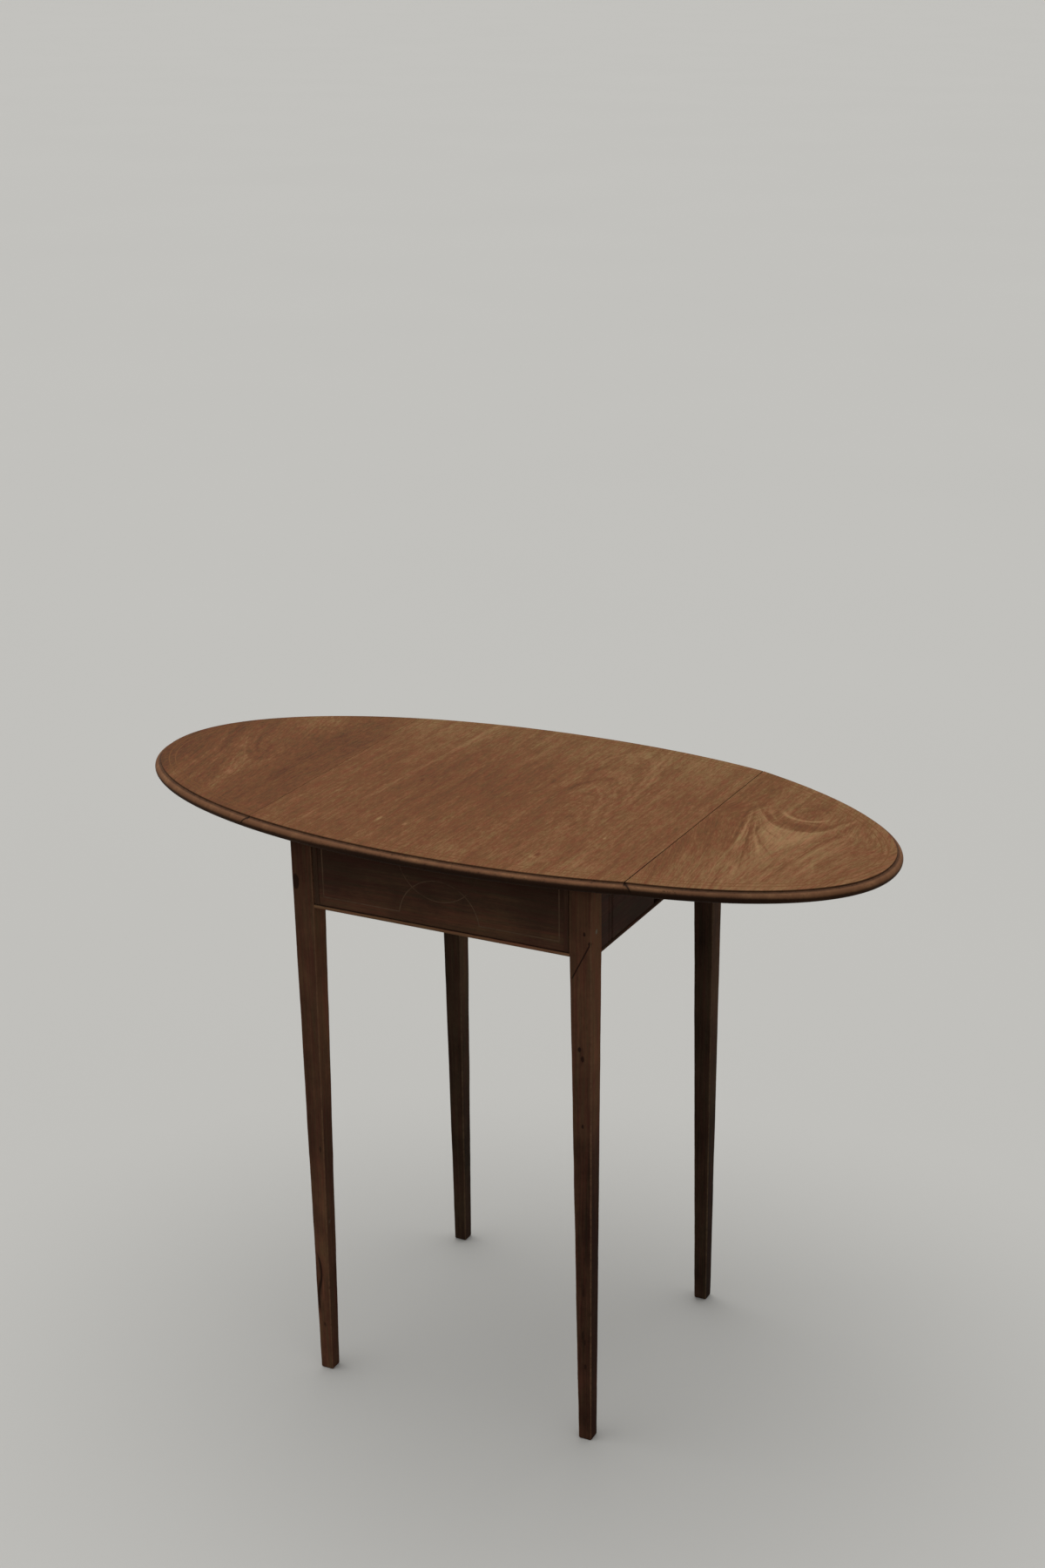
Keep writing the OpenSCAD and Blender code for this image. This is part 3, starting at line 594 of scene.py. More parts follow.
def wood_material(name, grain, seed, shades, marks=None, contrast=1, fleck_shade=None):
    """Mahogany cut with its grain along one axis; the arris attribute shows rubbed wood."""
    g = Graph(name)
    dark, base, pale, rubbed = shades
    places = {"X": (g.z, g.x, g.y), "Y": (g.z, g.y, g.x), "Z": (g.x, g.z, g.y)}
    across, along, other = places[grain]
    tone, pores = fine_grain(g, across, along, other, seed)
    blotch = g.noise(g.x * 0.011 + seed, g.y * 0.011, g.z * 0.011)
    nicks = g.noise(g.x * 0.2, g.y * 0.2, g.z * 0.2 + seed, 3, 0.65)
    value = 0.5 + (tone * 0.8 + blotch * 0.75 - pores * 0.14 + nicks * 0.16) * contrast
    # Marks add knots and cuts, and on some pieces painted light and shade
    if marks is not None:
        value = value + marks(g)
    warmth = g.noise(across * 0.22, along * 0.016, other * 0.22 + seed + 5, 3, 0.7)
    shade = g.warm_ramp(value, (dark, base, pale), 0.5 + warmth * 3)
    shade = g.mix(shade, rubbed, g.attribute("arris") * (0.7 + nicks * 1.8))
    shade = g.mix(shade, dark, nicks.rise(0.17, 0.3) * 0.5)
    if fleck_shade is not None:
        shade = g.mix(shade, fleck_shade, patches(g, LEG_FLECKS))
    # Painted shade, with some dirt, darkens the corner under the top
    shade = g.mix(shade, dark, g.z.rise(664, 688) * (0.6 + nicks * 0.5))
    return g.finish(shade, 0.78 + tone * 0.12, tone * 0.6 - pores * 0.6 + nicks * 0.25,
                    specular=0.05)


def unevenness(g):
    """Makes the rims of marks on the legs ragged."""
    return g.noise(g.x * 0.35, g.y * 0.35, g.z * 0.2, 3, 0.7)


def patches(g, rows):
    """Patches with ragged rims on the legs."""
    rough, total = unevenness(g), 0
    for x, y, z, wide, tall, strength in rows:
        spot = (g.x - x + rough * 2).bell(wide) * (g.z - z + rough * 3).bell(tall)
        total = total + (spot * (g.y - y).bell(wide * 1.6)).rise(0.15, 0.6) * strength
    return total


def leg_marks_and_shade(g):
    """Knots, a scratch, a crack and darker stretches of the legs, with painted light and shade on
    their sides and on the back legs.
    """
    # The scratch runs down to the left from beside the strip
    right, up = g.x - 178.9, g.z - 619.5
    along = right * -0.446 + up * -0.895
    across = right * 0.895 + up * -0.446
    scratch = (across + unevenness(g) * 0.6).bell(0.75).rise(0.2, 0.7) * along.rise(-1, 1)
    scratch = scratch * (1 - along.rise(42, 50))
    cuts = (grown_lines(g.x, g.z, LEG_CRACK) - scratch * 1.3) * (g.y + 177).bell(3)
    right_leg = (g.x - 170).bell(30) * (g.z.rise(330, 540) * 0.44 - 0.34)
    left_leg = (g.x + 170).bell(30) * ((g.z - 390).bell(50) * -0.1 + (g.z - 180).bell(60) * 0.05)
    # Painted light and shade: the back legs are darker, and faces toward +X are lighter high up and
    # darker low down, most at the back right leg's foot
    back = g.y.rise(-10, 10)
    facing = g.facing_right()
    side = facing * (g.z.rise(250, 450) * 0.47 - 0.17) * (1 - back * 0.4)
    foot = facing * g.x.rise(-10, 10) * back * (1 - g.z.rise(150, 320))
    return (patches(g, LEG_KNOTS) + cuts + (right_leg + left_leg) * (g.y + 168).bell(30)
            + side - foot * 0.2 - back * 0.17)


def frieze_painted_shade(g):
    """Painted shade: the aprons are paler toward the bottom and darker under the overhang."""
    return (1 - g.z.rise(610, 655)) * 0.12 - g.z.rise(645, 680) * 0.3


def strip_painted_shade(g):
    """Painted shade along the upper side of the rounded strip."""
    return g.z.rise(603.4, 604.8) * -0.7


def line_material(name, pale, dark, seed, worn):
    """String inlay, yellowed by age and in places worn down to the ground's tone."""
    g = Graph(name)
    fleck = g.noise(g.x * 0.12, g.y * 0.12, g.z * 0.12 + seed)
    fade = g.noise(g.x * 0.016, g.y * 0.016, g.z * 0.03 + seed, 2, 0.5).rise(-0.14, 0.14)
    middle = (g.x.bell(42) * 0.5 + (g.x - 38).bell(20) * 0.4) * g.z.rise(625, 660)
    bows = ((g.x - 40).bell(14) * 0.5 + (g.x + 46).bell(14) * 0.25) * g.z.rise(640, 655)
    lost = worn + fleck * 1.5 - fade * worn * 0.7 + middle + bows
    return g.finish(g.mix(pale, dark, lost), 0.75 + fleck * 0.1, fleck, specular=0.05)


def metal_material(name, shade, tarnish, roughness):
    """Dull metal under an uneven dark film."""
    g = Graph(name)
    film = g.noise(g.x * 0.3, g.y * 0.3, g.z * 0.3, 4, 0.65)
    fine = g.noise(g.x * 2, g.y * 2, g.z * 2, 2, 0.5)
    mixed = g.mix(shade, tarnish, 0.35 + film * 1.3)
    return g.finish(mixed, roughness + film * 0.35, (film + fine) * 0.3, relief=0.0001, metallic=1)


# Shapes

def solid(name, points, faces):
    """A closed mesh with its faces turned outward."""
    mesh = bpy.data.meshes.new(name)
    mesh.from_pydata([tuple(map(float, p)) for p in points], [], faces)
    shape = bmesh.new()
    shape.from_mesh(mesh)
    bmesh.ops.recalc_face_normals(shape, faces=shape.faces)
    shape.to_mesh(mesh)
    shape.free()
    return mesh


def loft(name, rings):
    """A closed surface through rings of equally many points, with flat ends."""
    count = len(rings[0])
    faces = [list(range(count)), [(len(rings) - 1) * count + i for i in range(count)][::-1]]
    for r in range(len(rings) - 1):
        for i in range(count):
            j = (i + 1) % count
            faces.append([r * count + i, (r + 1) * count + i, (r + 1) * count + j,
                          r * count + j])
    return solid(name, np.concatenate(rings), faces)


def prism(name, outline, low, high):
    """An outline of x and z, drawn out along y."""
    return loft(name, [np.array([(x, y, z) for x, z in outline]) for y in (low, high)])


def linked(name, data):
    """A new object in the scene."""
    item = bpy.data.objects.new(name, data)
    bpy.context.scene.collection.objects.link(item)
    return item


def carve(base, cutter, operation="DIFFERENCE"):
    """The base mesh after an exact cut. Both given meshes are used up."""
    first, second = linked("carve", base), linked("carve", cutter)
    cut = first.modifiers.new("cut", "BOOLEAN")
    cut.object, cut.operation, cut.solver = second, operation, "EXACT"
    graph = bpy.context.evaluated_depsgraph_get()
    result = bpy.data.meshes.new_from_object(first.evaluated_get(graph))
    for item in (first, second):
        bpy.data.objects.remove(item)
    if len(result.polygons) < 4:
        raise RuntimeError("a cut left nothing of " + base.name)
    return result


def smooth(mesh):
    """Smooth faces, with sharp edges between faces that meet at a steep angle."""
    mesh.polygons.foreach_set("use_smooth", [True] * len(mesh.polygons))
    shape = bmesh.new()
    shape.from_mesh(mesh)
    for edge in shape.edges:
        edge.smooth = len(edge.link_faces) == 2 and edge.calc_face_angle(0) < SHARP
    shape.to_mesh(mesh)
    shape.free()


def piece(name, mesh, body, slot, material, nodes=()):
    """Shows a mesh as a piece of the table, in place of the nodes it stands for."""
    smooth(mesh)
    item = linked(name, mesh)
    mesh.materials.clear()
    mesh.materials.append(material)
    weighted = item.modifiers.new("even_normals", "WEIGHTED_NORMAL")
    weighted.keep_sharp = True
    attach(item, body)
    if nodes:
        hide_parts(*nodes)


def set_attribute(mesh, name, values):
    layer = mesh.attributes.new(name, "FLOAT", "POINT")
    layer.data.foreach_set("value", np.asarray(values, np.float32))


def softened(node, width):
    """A copy of a node's mesh with its arrises rounded and marked as rubbed."""
    mesh = frame["nodes"][node].data.copy()
    shape = bmesh.new()
    shape.from_mesh(mesh)
    bmesh.ops.remove_doubles(shape, verts=shape.verts, dist=1e-6)
    bmesh.ops.dissolve_limit(shape, angle_limit=math.radians(0.6), verts=shape.verts,
                             edges=shape.edges, delimit=set())
    sharp = [e for e in shape.edges
             if len(e.link_faces) == 2 and e.calc_face_angle(0) > SHARP]
    made = bmesh.ops.bevel(shape, geom=sharp, offset=width, offset_type="OFFSET", segments=3,
                           profile=0.5, affect="EDGES", clamp_overlap=True)
    rounded = set(made["faces"])
    inner = [all(f in rounded for f in v.link_faces) for v in shape.verts]
    shape.to_mesh(mesh)
    shape.free()
    set_attribute(mesh, "arris", inner)
    return mesh


def body_of(node):
    return frame["nodes"][node]["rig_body"]


def slot_of(node):
    for part in frame["record"]["subparts"]:
        if part["node"] == node:
            return part["material_slot"]
    raise RuntimeError("no material slot for " + node)


def dress(nodes, material, width):
    """Rounds the arrises of like nodes, or with no width only gives them a material."""
    for node in nodes:
        if width:
            piece(node + "_softened", softened(node, width), body_of(node), slot_of(node),
                  material, [node])
        else:
            item = frame["nodes"][node]
            if not item.material_slots:
                item.data.materials.append(material)
            for slot in item.material_slots:
                slot.material = material


# The top

# Leaf hinges: half length along the joint, plate, radius of the room for the barrel, and
# how far the plates and the leaf's tongue reach from the axis
HINGE_HALF = 16 * MM
PLATE = 1.5 * MM
BARREL_ROOM = 2.55 * MM
FIXED_REACH = 21 * MM
MOVING_REACH = 38 * MM
TONGUE_REACH = 10.5 * MM
# Points along the curved part of a rule joint
JOINT_POINTS = 22


class Oval:
    """The table top's outline, with evenly spaced points and outward normals."""

    def __init__(self, settings):
        low, high = (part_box("top_centre")[k] for k in (0, 1))
        self.half_x = -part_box("leaf_left")[0].x
        self.half_y = high.y
        self.top, self.under = high.z, low.z
        self.power = settings.oval_power
        half = np.array([self.half_x, self.half_y])
        turn = np.linspace(0, 2 * math.pi, 20001)
        curve = np.stack([self._bow(np.cos(turn)), self._bow(np.sin(turn))], 1) * half
        run = np.concatenate([[0], np.cumsum(np.hypot(*np.diff(curve, axis=0).T))])
        even = np.arange(settings.outline_points) * run[-1] / settings.outline_points
        self.points = np.stack([np.interp(even, run, curve[:, k]) for k in (0, 1)], 1)
        place = self.points / half
        slope = np.sign(place) * np.abs(place) ** (self.power - 1) / half
        self.normals = slope / np.linalg.norm(slope, axis=1)[:, None]

    def _bow(self, value):
        return np.sign(value) * np.abs(value) ** (2 / self.power)

    def ring(self, out, height):
        """The outline moved out and lifted to a height; out may vary round it."""
        flat = self.points + self.normals * np.reshape(out, (-1, 1))
        return np.column_stack([flat, np.full(len(flat), height)])


def edge_profile(settings, depth):
    """Out and down from the flat: worn arris, step, rounded nose and lower arris."""
    s = settings
    foot, steps = -s.nose, 18
    rows = [(foot - s.arris, 0), (foot - s.arris * 0.3, s.arris * 0.3), (foot, s.arris),
            (foot, s.step * 0.8), (foot + s.arris * 0.3, s.step)]
    for k in range(1, steps + 1):
        angle = math.pi / 2 - math.pi * k / steps
        fall = s.widest - s.step if angle > 0 else depth - s.widest
        rows.append((foot + s.nose * math.cos(angle), s.widest - fall * math.sin(angle)))
    return rows


def nose_wear(settings, points):
    """Small dents and flats along the rounded edge."""
    dents = []
    for x, y in points:
        long_wave = noise.noise(Vector((x * 11, y * 11, 0.3)))
        short_wave = noise.noise(Vector((x * 55, y * 55, 4.1)))
        dents.append(max(0, long_wave * 0.9) + max(0, short_wave - 0.2) * 0.8)
    return -settings.wear * np.array(dents)


def top_blank(oval, settings):
    """The whole oval slab with its moulded edge."""
    wear = nose_wear(settings, oval.points)
    rings = []
    for out, down in edge_profile(settings, oval.top - oval.under):
        share = min(1, max(0, (out + settings.nose) / settings.nose))
        rings.append(oval.ring(out + wear * share, oval.top - down))
    return loft("top_blank", rings)


def arc(centre, radius, first, last, steps):
    """Points along a circle, between two angles in degrees."""
    return [(centre[0] + radius * math.cos(a), centre[1] + radius * math.sin(a))
            for a in np.radians(np.linspace(first, last, steps))]


def rule_joint(oval, settings, axis):
    """Radius of the joint's round and the angle at which it meets the underside."""
    radius = oval.top - settings.shoulder - axis[1]
    return radius, -math.degrees(math.asin((axis[1] - oval.under) / radius))


def rounded_shoulder(x, top, arris, inward):
    """Upper arris of a seam, less worn than the rim's: the slab is cut back by it."""
    arris *= 0.4
    return [(x, top - arris), (x + inward * arris * 0.3, top - arris * 0.3),
            (x + inward * arris, top), (x + inward * arris, top + BEYOND)]


def centre_outline(oval, settings, axis):
    """The centre panel's section between the two rule joints."""
    radius, dip = rule_joint(oval, settings, axis)
    right = [(axis[0] + radius * math.cos(math.radians(dip)), oval.under - BEYOND)]
    right += arc(axis, radius, dip, 90, JOINT_POINTS)
    right += rounded_shoulder(axis[0], oval.top, settings.arris, -1)
    return right + [(-x, z) for x, z in reversed(right)]


def leaf_outline(oval, settings, axis):
    """The right leaf's section, from the hollow of its joint to beyond its end."""
    radius, dip = rule_joint(oval, settings, axis)
    gap = settings.joint_gap
    lead = math.degrees(math.acos(gap / (radius + gap)))
    far = oval.half_x + 0.05
    rows = rounded_shoulder(axis[0] + gap, oval.top, settings.arris, 1)[::-1]
    rows += arc(axis, radius + gap, lead, dip, JOINT_POINTS)
    return rows + [(rows[-1][0] + 0.0002, oval.under - BEYOND), (far, oval.under - BEYOND),
                   (far, oval.top + BEYOND)]


def between_seams(oval, settings, part):
    """A solid that holds the centre panel or one leaf, as far as the rule joints."""
    outline = centre_outline if part == "centre" else leaf_outline
    section = outline(oval, settings, hinge_axis("right"))
    if part == "left":
        section = [(-x, z) for x, z in section]
    reach = oval.half_y + 0.02
    return prism("cut", section, -reach, reach)


def line_ring(oval, settings, index, slack, lift):
    """A band between two ovals, open below or above the flat by lift."""
    middle = -settings.nose - settings.line_inset - index * settings.line_spacing
    half = settings.line_width / 2 + slack
    low, high = oval.top - settings.line_depth - slack, oval.top + lift
    corners = ((middle + half, high), (middle + half, low), (middle - half, low),
               (middle - half, high))
    rings = [oval.ring(out, height) for out, height in corners]
    count = len(rings[0])
    faces = []
    for r in range(4):
        here, there = r * count, (r + 1) % 4 * count
        for i in range(count):
            j = (i + 1) % count
            faces.append([here + i, there + i, there + j, here + j])
    return solid("line", np.concatenate(rings), faces)


def grooved(mesh, oval, settings):
    """Cuts the grooves of both inlaid lines, a little wider than the lines."""
    for index in (0, 1):
        mesh = carve(mesh, line_ring(oval, settings, index, slack=0.00004, lift=0.002))
    return mesh


def block(low, high):
    """A plain box, used only to cut a bed for a hinge."""
    outline = [(low[0], low[2]), (high[0], low[2]), (high[0], high[2]), (low[0], high[2])]
    return prism("bed", outline, low[1], high[1])


def hinge_beds(mesh, oval, settings, axis, plate_reach, under_tongue=False):
    """Lets the leaf hinges into the underside, one plate and barrel at a time."""
    outward = 1 if axis[0] > 0 else -1
    room = HINGE_HALF + settings.joint_gap
    for y in flap_places():
        near, far = sorted([axis[0], axis[0] + outward * plate_reach])
        mesh = carve(mesh, block((near, y - HINGE_HALF, oval.under - BEYOND),
                                 (far, y + HINGE_HALF, oval.under + PLATE)))
        if not under_tongue:
            continue
        left, right = axis[0] - BARREL_ROOM, axis[0] + BARREL_ROOM
        outline = [(left, oval.under - BEYOND), (left, axis[1])]
        outline += arc(axis, BARREL_ROOM, 180, 0, 13)[1:-1]
        outline += [(right, axis[1]), (right, oval.under - BEYOND)]
        mesh = carve(mesh, prism("barrel_room", outline, y - room, y + room))
        # This cut starts lower than the others, so that no two faces lie in one plane
        near, far = sorted([axis[0], axis[0] + outward * TONGUE_REACH])
        mesh = carve(mesh, block((near, y - room, oval.under - BEYOND - 0.001),
                                 (far, y + room, oval.under + PLATE + settings.joint_gap)))
    return mesh


def flap_places():
    """Middles of the two leaf hinges along the joint."""
    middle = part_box("hinge_pins_right")[1].y - HINGE_HALF
    return (-middle, middle)


def mark_depth(mesh, top):
    """Tells the top's material how many millimetres each point lies below the flat."""
    set_attribute(mesh, "depth", [(top - v.co.z) * 1000 for v in mesh.vertices])


def sag_of(side):
    """Degrees that a leaf rests below level, which its hinge can still rise."""
    return joints["leaf_%s_hinge" % side]["range_deg"][1]


def turned(mesh, side):
    """Turns a leaf down to its resting sag about its hinge."""
    axis = hinge_axis(side)
    angle = math.radians(sag_of(side)) * (1 if side == "right" else -1)
    pivot = Vector((axis[0], 0, axis[1]))
    mesh.transform(Matrix.Translation(pivot) @ Matrix.Rotation(angle, 4, "Y")
                   @ Matrix.Translation(-pivot))
    return mesh


def hinge_axis(side):
    """Where a leaf's hinge has its axis, as x and z."""
    place = joints["leaf_%s_hinge" % side]["pos_m"]
    return (place[0], place[2])


class TABLE_OT_top(bpy.types.Operator):
    """Makes the centre panel and both leaves, with their joints, grooves and hinge beds"""
    bl_idname = "butterfly_table.top"
    bl_label = "Top panels"

    def execute(self, context):
        s = context.scene.butterfly_table.top
        oval = Oval(s)
        material = top_material(s, oval)
        centre = carve(top_blank(oval, s), between_seams(oval, s, "centre"), "INTERSECT")
        centre = grooved(centre, oval, s)
        for side in SIDES:
            centre = hinge_beds(centre, oval, s, hinge_axis(side), -FIXED_REACH,
                                under_tongue=True)
        mark_depth(centre, oval.top)
        piece("centre_panel", centre, "frame", "top_wood", material, ["top_centre"])
        for side in SIDES:
            leaf = carve(top_blank(oval, s), between_seams(oval, s, side), "INTERSECT")
            leaf = grooved(leaf, oval, s)
            leaf = hinge_beds(leaf, oval, s, hinge_axis(side), MOVING_REACH)
            mark_depth(leaf, oval.top)
            piece(side + "_leaf_panel", turned(leaf, side), "leaf_" + side, "top_wood",
                  material, ["leaf_" + side])
        return {"FINISHED"}


class TABLE_OT_top_lines(bpy.types.Operator):
    """Makes the two inlaid lines that follow the edge, in three stretches each"""
    bl_idname = "butterfly_table.top_lines"
    bl_label = "Inlaid lines of the top"

    def execute(self, context):
        s = context.scene.butterfly_table.top
        oval = Oval(s)
        material = line_material("top_line", s.line, s.base, seed=2, worn=0.5)
        for name, body, node in (("centre", "frame", "line_top_centre"),
                                 ("left", "leaf_left", "line_leaf_left"),
                                 ("right", "leaf_right", "line_leaf_right")):
            shape = bmesh.new()
            for index in (0, 1):
                band = line_ring(oval, s, index, slack=0, lift=0)
                shape.from_mesh(carve(band, between_seams(oval, s, name), "INTERSECT"))
            mesh = bpy.data.meshes.new("lines")
            shape.to_mesh(mesh)
            shape.free()
            if name != "centre":
                mesh = turned(mesh, name)
            piece(name + "_lines", mesh, body, "inlay_wood", material, [node])
        return {"FINISHED"}


# The frame

def leg_section(width, radius):
    """Points round a square of that width with rounded corners, and their arris marks."""
    points, marks, steps = [], [], 6
    for k, (cx, cy) in enumerate([(0, 0), (-1, 0), (-1, -1), (0, -1)]):
        centre = (cx * width + (radius[k] if cx else -radius[k]),
                  cy * width + (radius[k] if cy else -radius[k]))
        points += arc(centre, radius[k], 90 * k, 90 * k + 90, steps)
        marks += [0] + [1] * (steps - 2) + [0]
    return points, marks


def leg_mesh(node, settings, strip_bottom):
    """A tapered leg with uneven arrises and a foot whose lower arris is rounded."""
    low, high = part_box(node)
    side = 1 if low.x + high.x > 0 else -1
    end = 1 if low.y + high.y > 0 else -1
    outer_x, outer_y = max(abs(low.x), abs(high.x)), max(abs(low.y), abs(high.y))
    full = high.x - low.x
    # The foot draws in at the floor, where the rings lie close together
    drawn_in, drawn_height = 0.0008, 0.0016
    heights = [0, 0.0005, 0.0013, 0.003]
    heights += list(np.linspace(0.008, high.z, settings.leg_rings - len(heights)))
    rings, marks = [], []
    for z in reversed(heights):
        width = full
        if z <= strip_bottom:
            width = settings.foot + (full - settings.foot) * z / strip_bottom
        tuck = drawn_in * max(0, 1 - z / drawn_height) ** 1.5
        radius = []
        for k in range(4):
            seed = Vector((side * 3 + k * 7, end * 5, z * 14))
            rough = noise.noise(seed) + 0.5 * noise.noise(seed * 4.3)
            radius.append(settings.leg_arris * (1 + 0.75 * rough))
        points, arris = leg_section(width - 2 * tuck, radius)
        rings.append(np.array([(side * (outer_x + u - tuck), end * (outer_y + v - tuck), z)
                               for u, v in points]))
        marks += arris
    mesh = loft(node, rings)
    set_attribute(mesh, "arris", marks)
    return mesh


class TABLE_OT_legs(bpy.types.Operator):
    """Makes the four square tapered legs with worn arrises"""
    bl_idname = "butterfly_table.legs"
    bl_label = "Legs"

    def execute(self, context):
        s = context.scene.butterfly_table.frame
        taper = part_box("strip_front")[0].z
        # The back legs get a darker, greyer copy of the front legs' material, as painted shade
        for end, tint in (("front", (1, 1, 1)), ("back", s.back_painted_shade)):
            shades = [tinted(shade, tint) for shade in (s.dark, s.base, s.pale, s.rubbed)]
            material = wood_material(end + "_leg_mahogany", "Z", 3, shades, leg_marks_and_shade,
                                     contrast=1.15, fleck_shade=s.fleck)
            for side in SIDES:
                node = "leg_%s_%s" % (end, side)
                piece(node + "_worn", leg_mesh(node, s, taper), "frame", "frame_wood",
                      material, [node])
        return {"FINISHED"}


class TABLE_OT_aprons(bpy.types.Operator):
    """Dresses the aprons, their inlay, the upright strips and the rounded edge strips"""
    bl_idname = "butterfly_table.aprons"
    bl_label = "Aprons and strips"

    def execute(self, context):
        s = context.scene.butterfly_table.frame
        arris = 0.0003
        dull = (s.dark, s.frieze, s.pale, s.base)
        board = wood_material("frieze_mahogany", "X", 11, (s.dark, s.frieze, s.pale, s.rubbed),
                              frieze_painted_shade, contrast=0.8)
        upright = wood_material("upright_strip", "Z", 14, dull)
        rounded = wood_material("front_edge_strip", "X", 17,
                                (s.dark, s.strip, s.rubbed, s.strip), strip_painted_shade)
        # Painted shade: the side strips are darker than the front strip
        beside = wood_material("side_edge_strip", "Y", 19, dull)
        inlay = line_material("frieze_line", s.line, s.frieze, seed=6, worn=0.5)
        for nodes, material, width in (
                (("apron_front", "apron_back"), board, 0),
                (("end_strips_front", "end_strips_back"), upright, arris),
                (("strip_front", "strip_back"), rounded, arris),
                (("strip_left", "strip_right"), beside, arris),
                (("inlay_front", "inlay_back"), inlay, 0)):
            dress(nodes, material, width)
        return {"FINISHED"}


class TABLE_OT_brackets(bpy.types.Operator):
    """Dresses the swinging brackets and the blocks that they are hinged to"""
    bl_idname = "butterfly_table.brackets"
    bl_label = "Brackets"

    def execute(self, context):
        s = context.scene.butterfly_table.frame
        # The greyed bracket tone is painted shade
        shades = (tinted(s.bracket, (0.45, 0.43, 0.41)), s.bracket,
                  tinted(s.bracket, (2.8, 2.4, 2.1)), s.dark)
        material = wood_material("bracket_mahogany", "Y", 23, shades, contrast=0.8)
        for kind in ("bracket_", "bracket_block_"):
            dress([kind + corner for corner in CORNERS], material, s.arris)
        return {"FINISHED"}


class TABLE_OT_inner(bpy.types.Operator):
    """Dresses the rails and blocks inside the frame"""
    bl_idname = "butterfly_table.inner"
    bl_label = "Inner frame"

    def execute(self, context):
        s = context.scene.butterfly_table.frame
        shades = (s.dark, s.inner, s.inner, s.inner)
        rails = wood_material("rail_wood", "Y", 29, shades)
        dress(("rail_left", "rail_right"), rails, 0)
        blocks = wood_material("block_wood", "X", 31, shades)
        dress(["corner_block_" + corner for corner in CORNERS], blocks, s.arris)
        dress(("glue_blocks_front", "glue_blocks_back"), blocks, s.arris)
        return {"FINISHED"}


class TABLE_OT_hardware(bpy.types.Operator):
    """Dresses the leaf hinges, their pins and all screws"""
    bl_idname = "butterfly_table.hardware"
    bl_label = "Hinges and screws"

    def execute(self, context):
        s = context.scene.butterfly_table.metal
        brass = metal_material("dull_brass", s.brass, s.tarnish, roughness=0.42)
        steel = metal_material("dull_steel", s.steel, s.tarnish, roughness=0.45)
        for side in SIDES:
            for kind in ("fixed_", "moving_", "screws_fixed_", "screws_moving_"):
                dress(["hinge_" + kind + side], brass, 0)
            dress(["hinge_pins_" + side], steel, 0)
        dress(["bracket_pins", "block_screws", "top_screws"], steel, 0)
        return {"FINISHED"}


# The stage

def seen_rays(tree):
    """1 where a ray comes from the camera, a gloss or a glass, else 0."""
    path = tree.nodes.new("ShaderNodeLightPath")
    total = path.outputs["Is Camera Ray"]
    for name in ("Is Glossy Ray", "Is Transmission Ray"):
        either = tree.nodes.new("ShaderNodeMath")
        either.operation = "MAXIMUM"
        tree.links.new(total, either.inputs[0])
        tree.links.new(path.outputs[name], either.inputs[1])
        total = either.outputs[0]
    return total


def stage_material(settings):
    """Plain pale floor, which throws back the dimmer light of a workshop floor."""
    g = Graph("pale_floor")
    soft = g.noise(g.x * 0.0008, g.y * 0.0008, 0, 2, 0.5)
    pale = g.mix(settings.floor, tinted(settings.floor, (0.97,) * 3), 0.5 + soft)
    shade = g.mix(settings.bounce, pale, Field(g, seen_rays(g.tree)))
    return g.finish(shade, 0.9, specular=0.1)


def stage_world(settings):
    """Even light all round, and the floor's own colour behind it for the camera."""
    world = bpy.data.worlds.new("pale_room")
    bpy.context.scene.world = world
    world.use_nodes = True
    tree = world.node_tree
    tree.nodes.clear()
    seen, lit = (tree.nodes.new("ShaderNodeBackground") for _ in range(2))
    seen.inputs[0].default_value = (*settings.floor, 1)
    seen.inputs[1].default_value = 1
    lit.inputs[0].default_value = (1, 1, 1, 1)
    lit.inputs[1].default_value = settings.sky
    mix = tree.nodes.new("ShaderNodeMixShader")
    out = tree.nodes.new("ShaderNodeOutputWorld")
    tree.links.new(seen_rays(tree), mix.inputs[0])
    tree.links.new(lit.outputs[0], mix.inputs[1])
    tree.links.new(seen.outputs[0], mix.inputs[2])
    tree.links.new(mix.outputs[0], out.inputs[0])


def add_floor(settings):
    """A round floor, wide enough to fill every view."""
    turns = np.linspace(0, 2 * math.pi, 97)[:-1]
    rim = [(settings.floor_radius * math.cos(a), settings.floor_radius * math.sin(a), 0)
           for a in turns]
    mesh = bpy.data.meshes.new("floor")
    mesh.from_pydata(rim, [], [list(range(len(rim)))])
    mesh.materials.append(stage_material(settings))
    floor = linked("floor", mesh)


def add_lamp(settings):
    """One wide, soft light from above."""
    lamp = bpy.data.lights.new("soft_lamp", "SUN")
    lamp.energy, lamp.angle = settings.lamp, settings.softness
    holder = linked("soft_lamp", lamp)
    holder.location = (-0.6, 0.4, 3)
    holder.rotation_euler = (-holder.location).to_track_quat("-Z", "Y").to_euler()


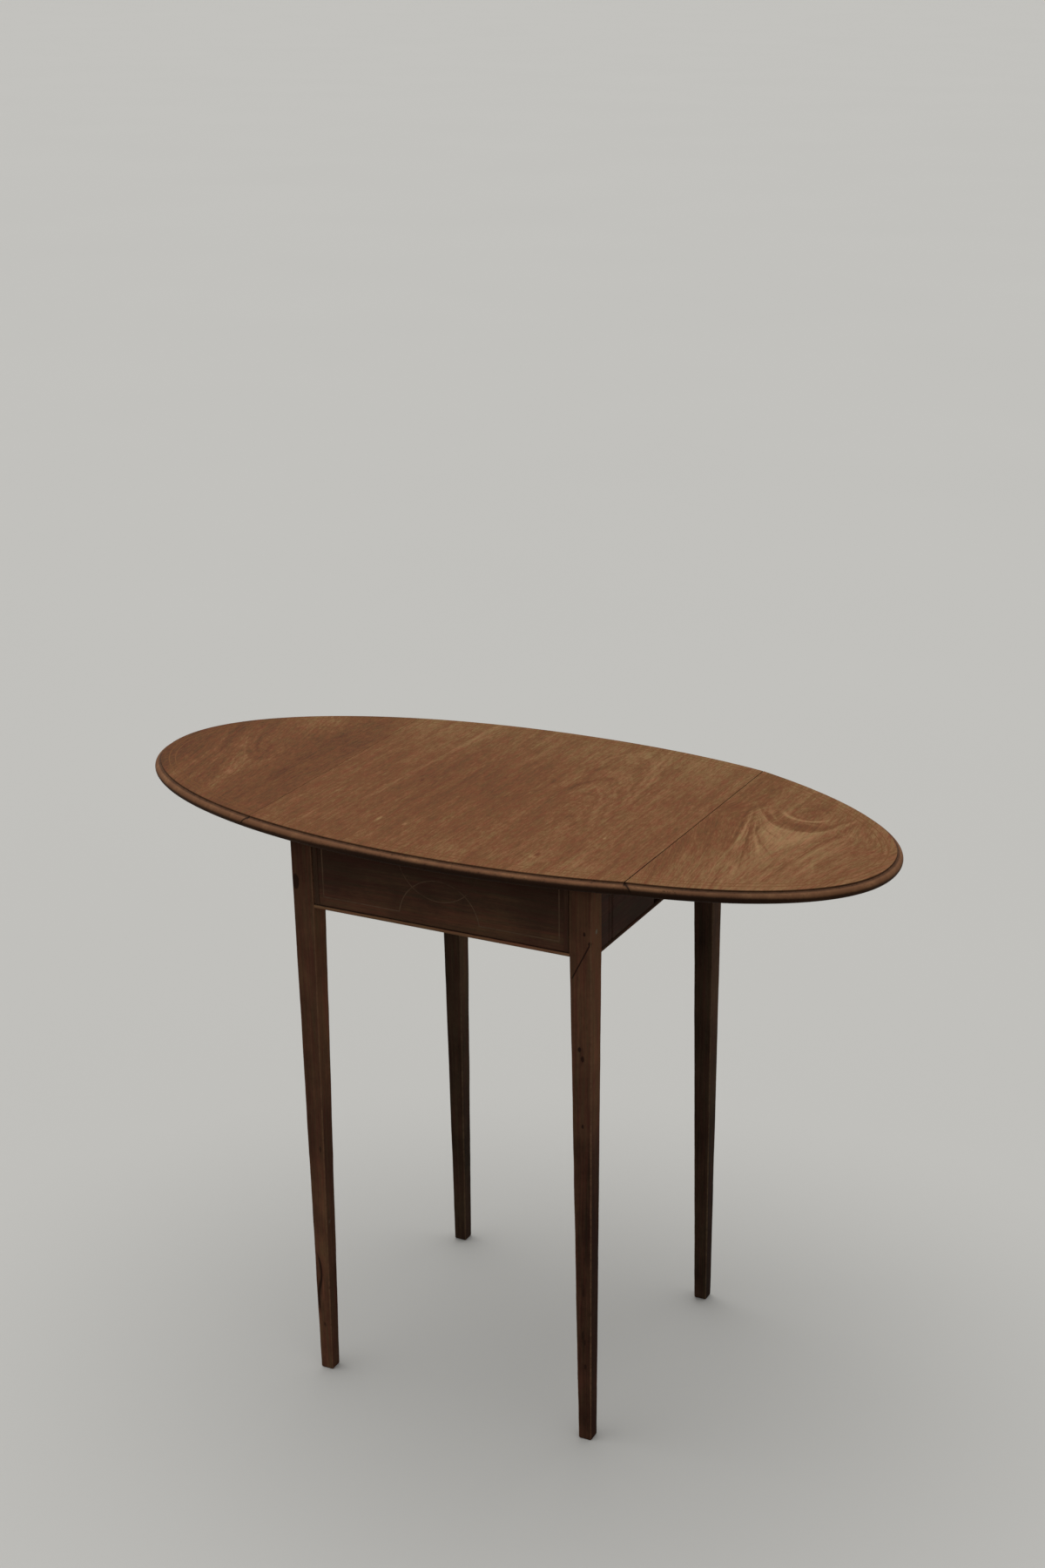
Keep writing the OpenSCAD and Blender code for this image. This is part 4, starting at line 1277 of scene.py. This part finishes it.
def add_camera(scene, settings):
    """The camera of the photograph, whose picture is cut from a larger one."""
    s = settings
    data = bpy.data.cameras.new("photo_camera")
    data.sensor_fit, data.sensor_height, data.sensor_width = "VERTICAL", 36, 24
    data.lens = s.focal * data.sensor_height
    data.shift_x, data.shift_y = s.shift_x, s.shift_y
    data.clip_end = 200
    back = Vector((math.sin(s.azimuth) * math.cos(s.elevation),
                   -math.cos(s.azimuth) * math.cos(s.elevation), math.sin(s.elevation)))
    right = Vector((math.cos(s.azimuth), math.sin(s.azimuth), 0))
    up = back.cross(right)
    rolled = Matrix((math.cos(s.roll) * right + math.sin(s.roll) * up,
                     math.cos(s.roll) * up - math.sin(s.roll) * right, back)).transposed()
    camera = linked("photo_camera", data)
    camera.matrix_world = Matrix.Translation(s.camera_place) @ rolled.to_4x4()
    scene.camera = camera


class TABLE_OT_stage(bpy.types.Operator):
    """Sets the pale floor, the soft light and the camera"""
    bl_idname = "butterfly_table.stage"
    bl_label = "Stage"

    def execute(self, context):
        s = context.scene.butterfly_table.stage
        add_floor(s)
        stage_world(s)
        add_lamp(s)
        add_camera(context.scene, s)
        context.scene.view_settings.view_transform = "Standard"
        return {"FINISHED"}


class TABLE_PT_panel(bpy.types.Panel):
    """Lists the table's pieces"""
    bl_label = "Butterfly table"
    bl_idname = "TABLE_PT_panel"
    bl_space_type = "VIEW_3D"
    bl_region_type = "UI"
    bl_category = "Table"

    def draw(self, context):
        settings = context.scene.butterfly_table
        for operator in OPERATORS:
            self.layout.operator(operator.bl_idname)
        for group in (settings.top, settings.frame, settings.metal, settings.stage):
            box = self.layout.box()
            for name in group.bl_rna.properties.keys():
                if name not in ("rna_type", "name"):
                    box.prop(group, name)


GROUPS = (TopSettings, FrameSettings, MetalSettings, StageSettings, TableSettings)
OPERATORS = (TABLE_OT_stage, TABLE_OT_top, TABLE_OT_top_lines, TABLE_OT_legs, TABLE_OT_aprons,
             TABLE_OT_brackets, TABLE_OT_inner, TABLE_OT_hardware)


def register():
    for kind in GROUPS + OPERATORS + (TABLE_PT_panel,):
        bpy.utils.register_class(kind)
    bpy.types.Scene.butterfly_table = PointerProperty(type=TableSettings)


def unregister():
    del bpy.types.Scene.butterfly_table
    for kind in reversed(GROUPS + OPERATORS + (TABLE_PT_panel,)):
        bpy.utils.unregister_class(kind)


def main():
    register()
    for operator in OPERATORS:
        group, name = operator.bl_idname.split(".")
        getattr(getattr(bpy.ops, group), name)()
    bpy.context.view_layer.update()


if __name__ == "__main__":
    main()
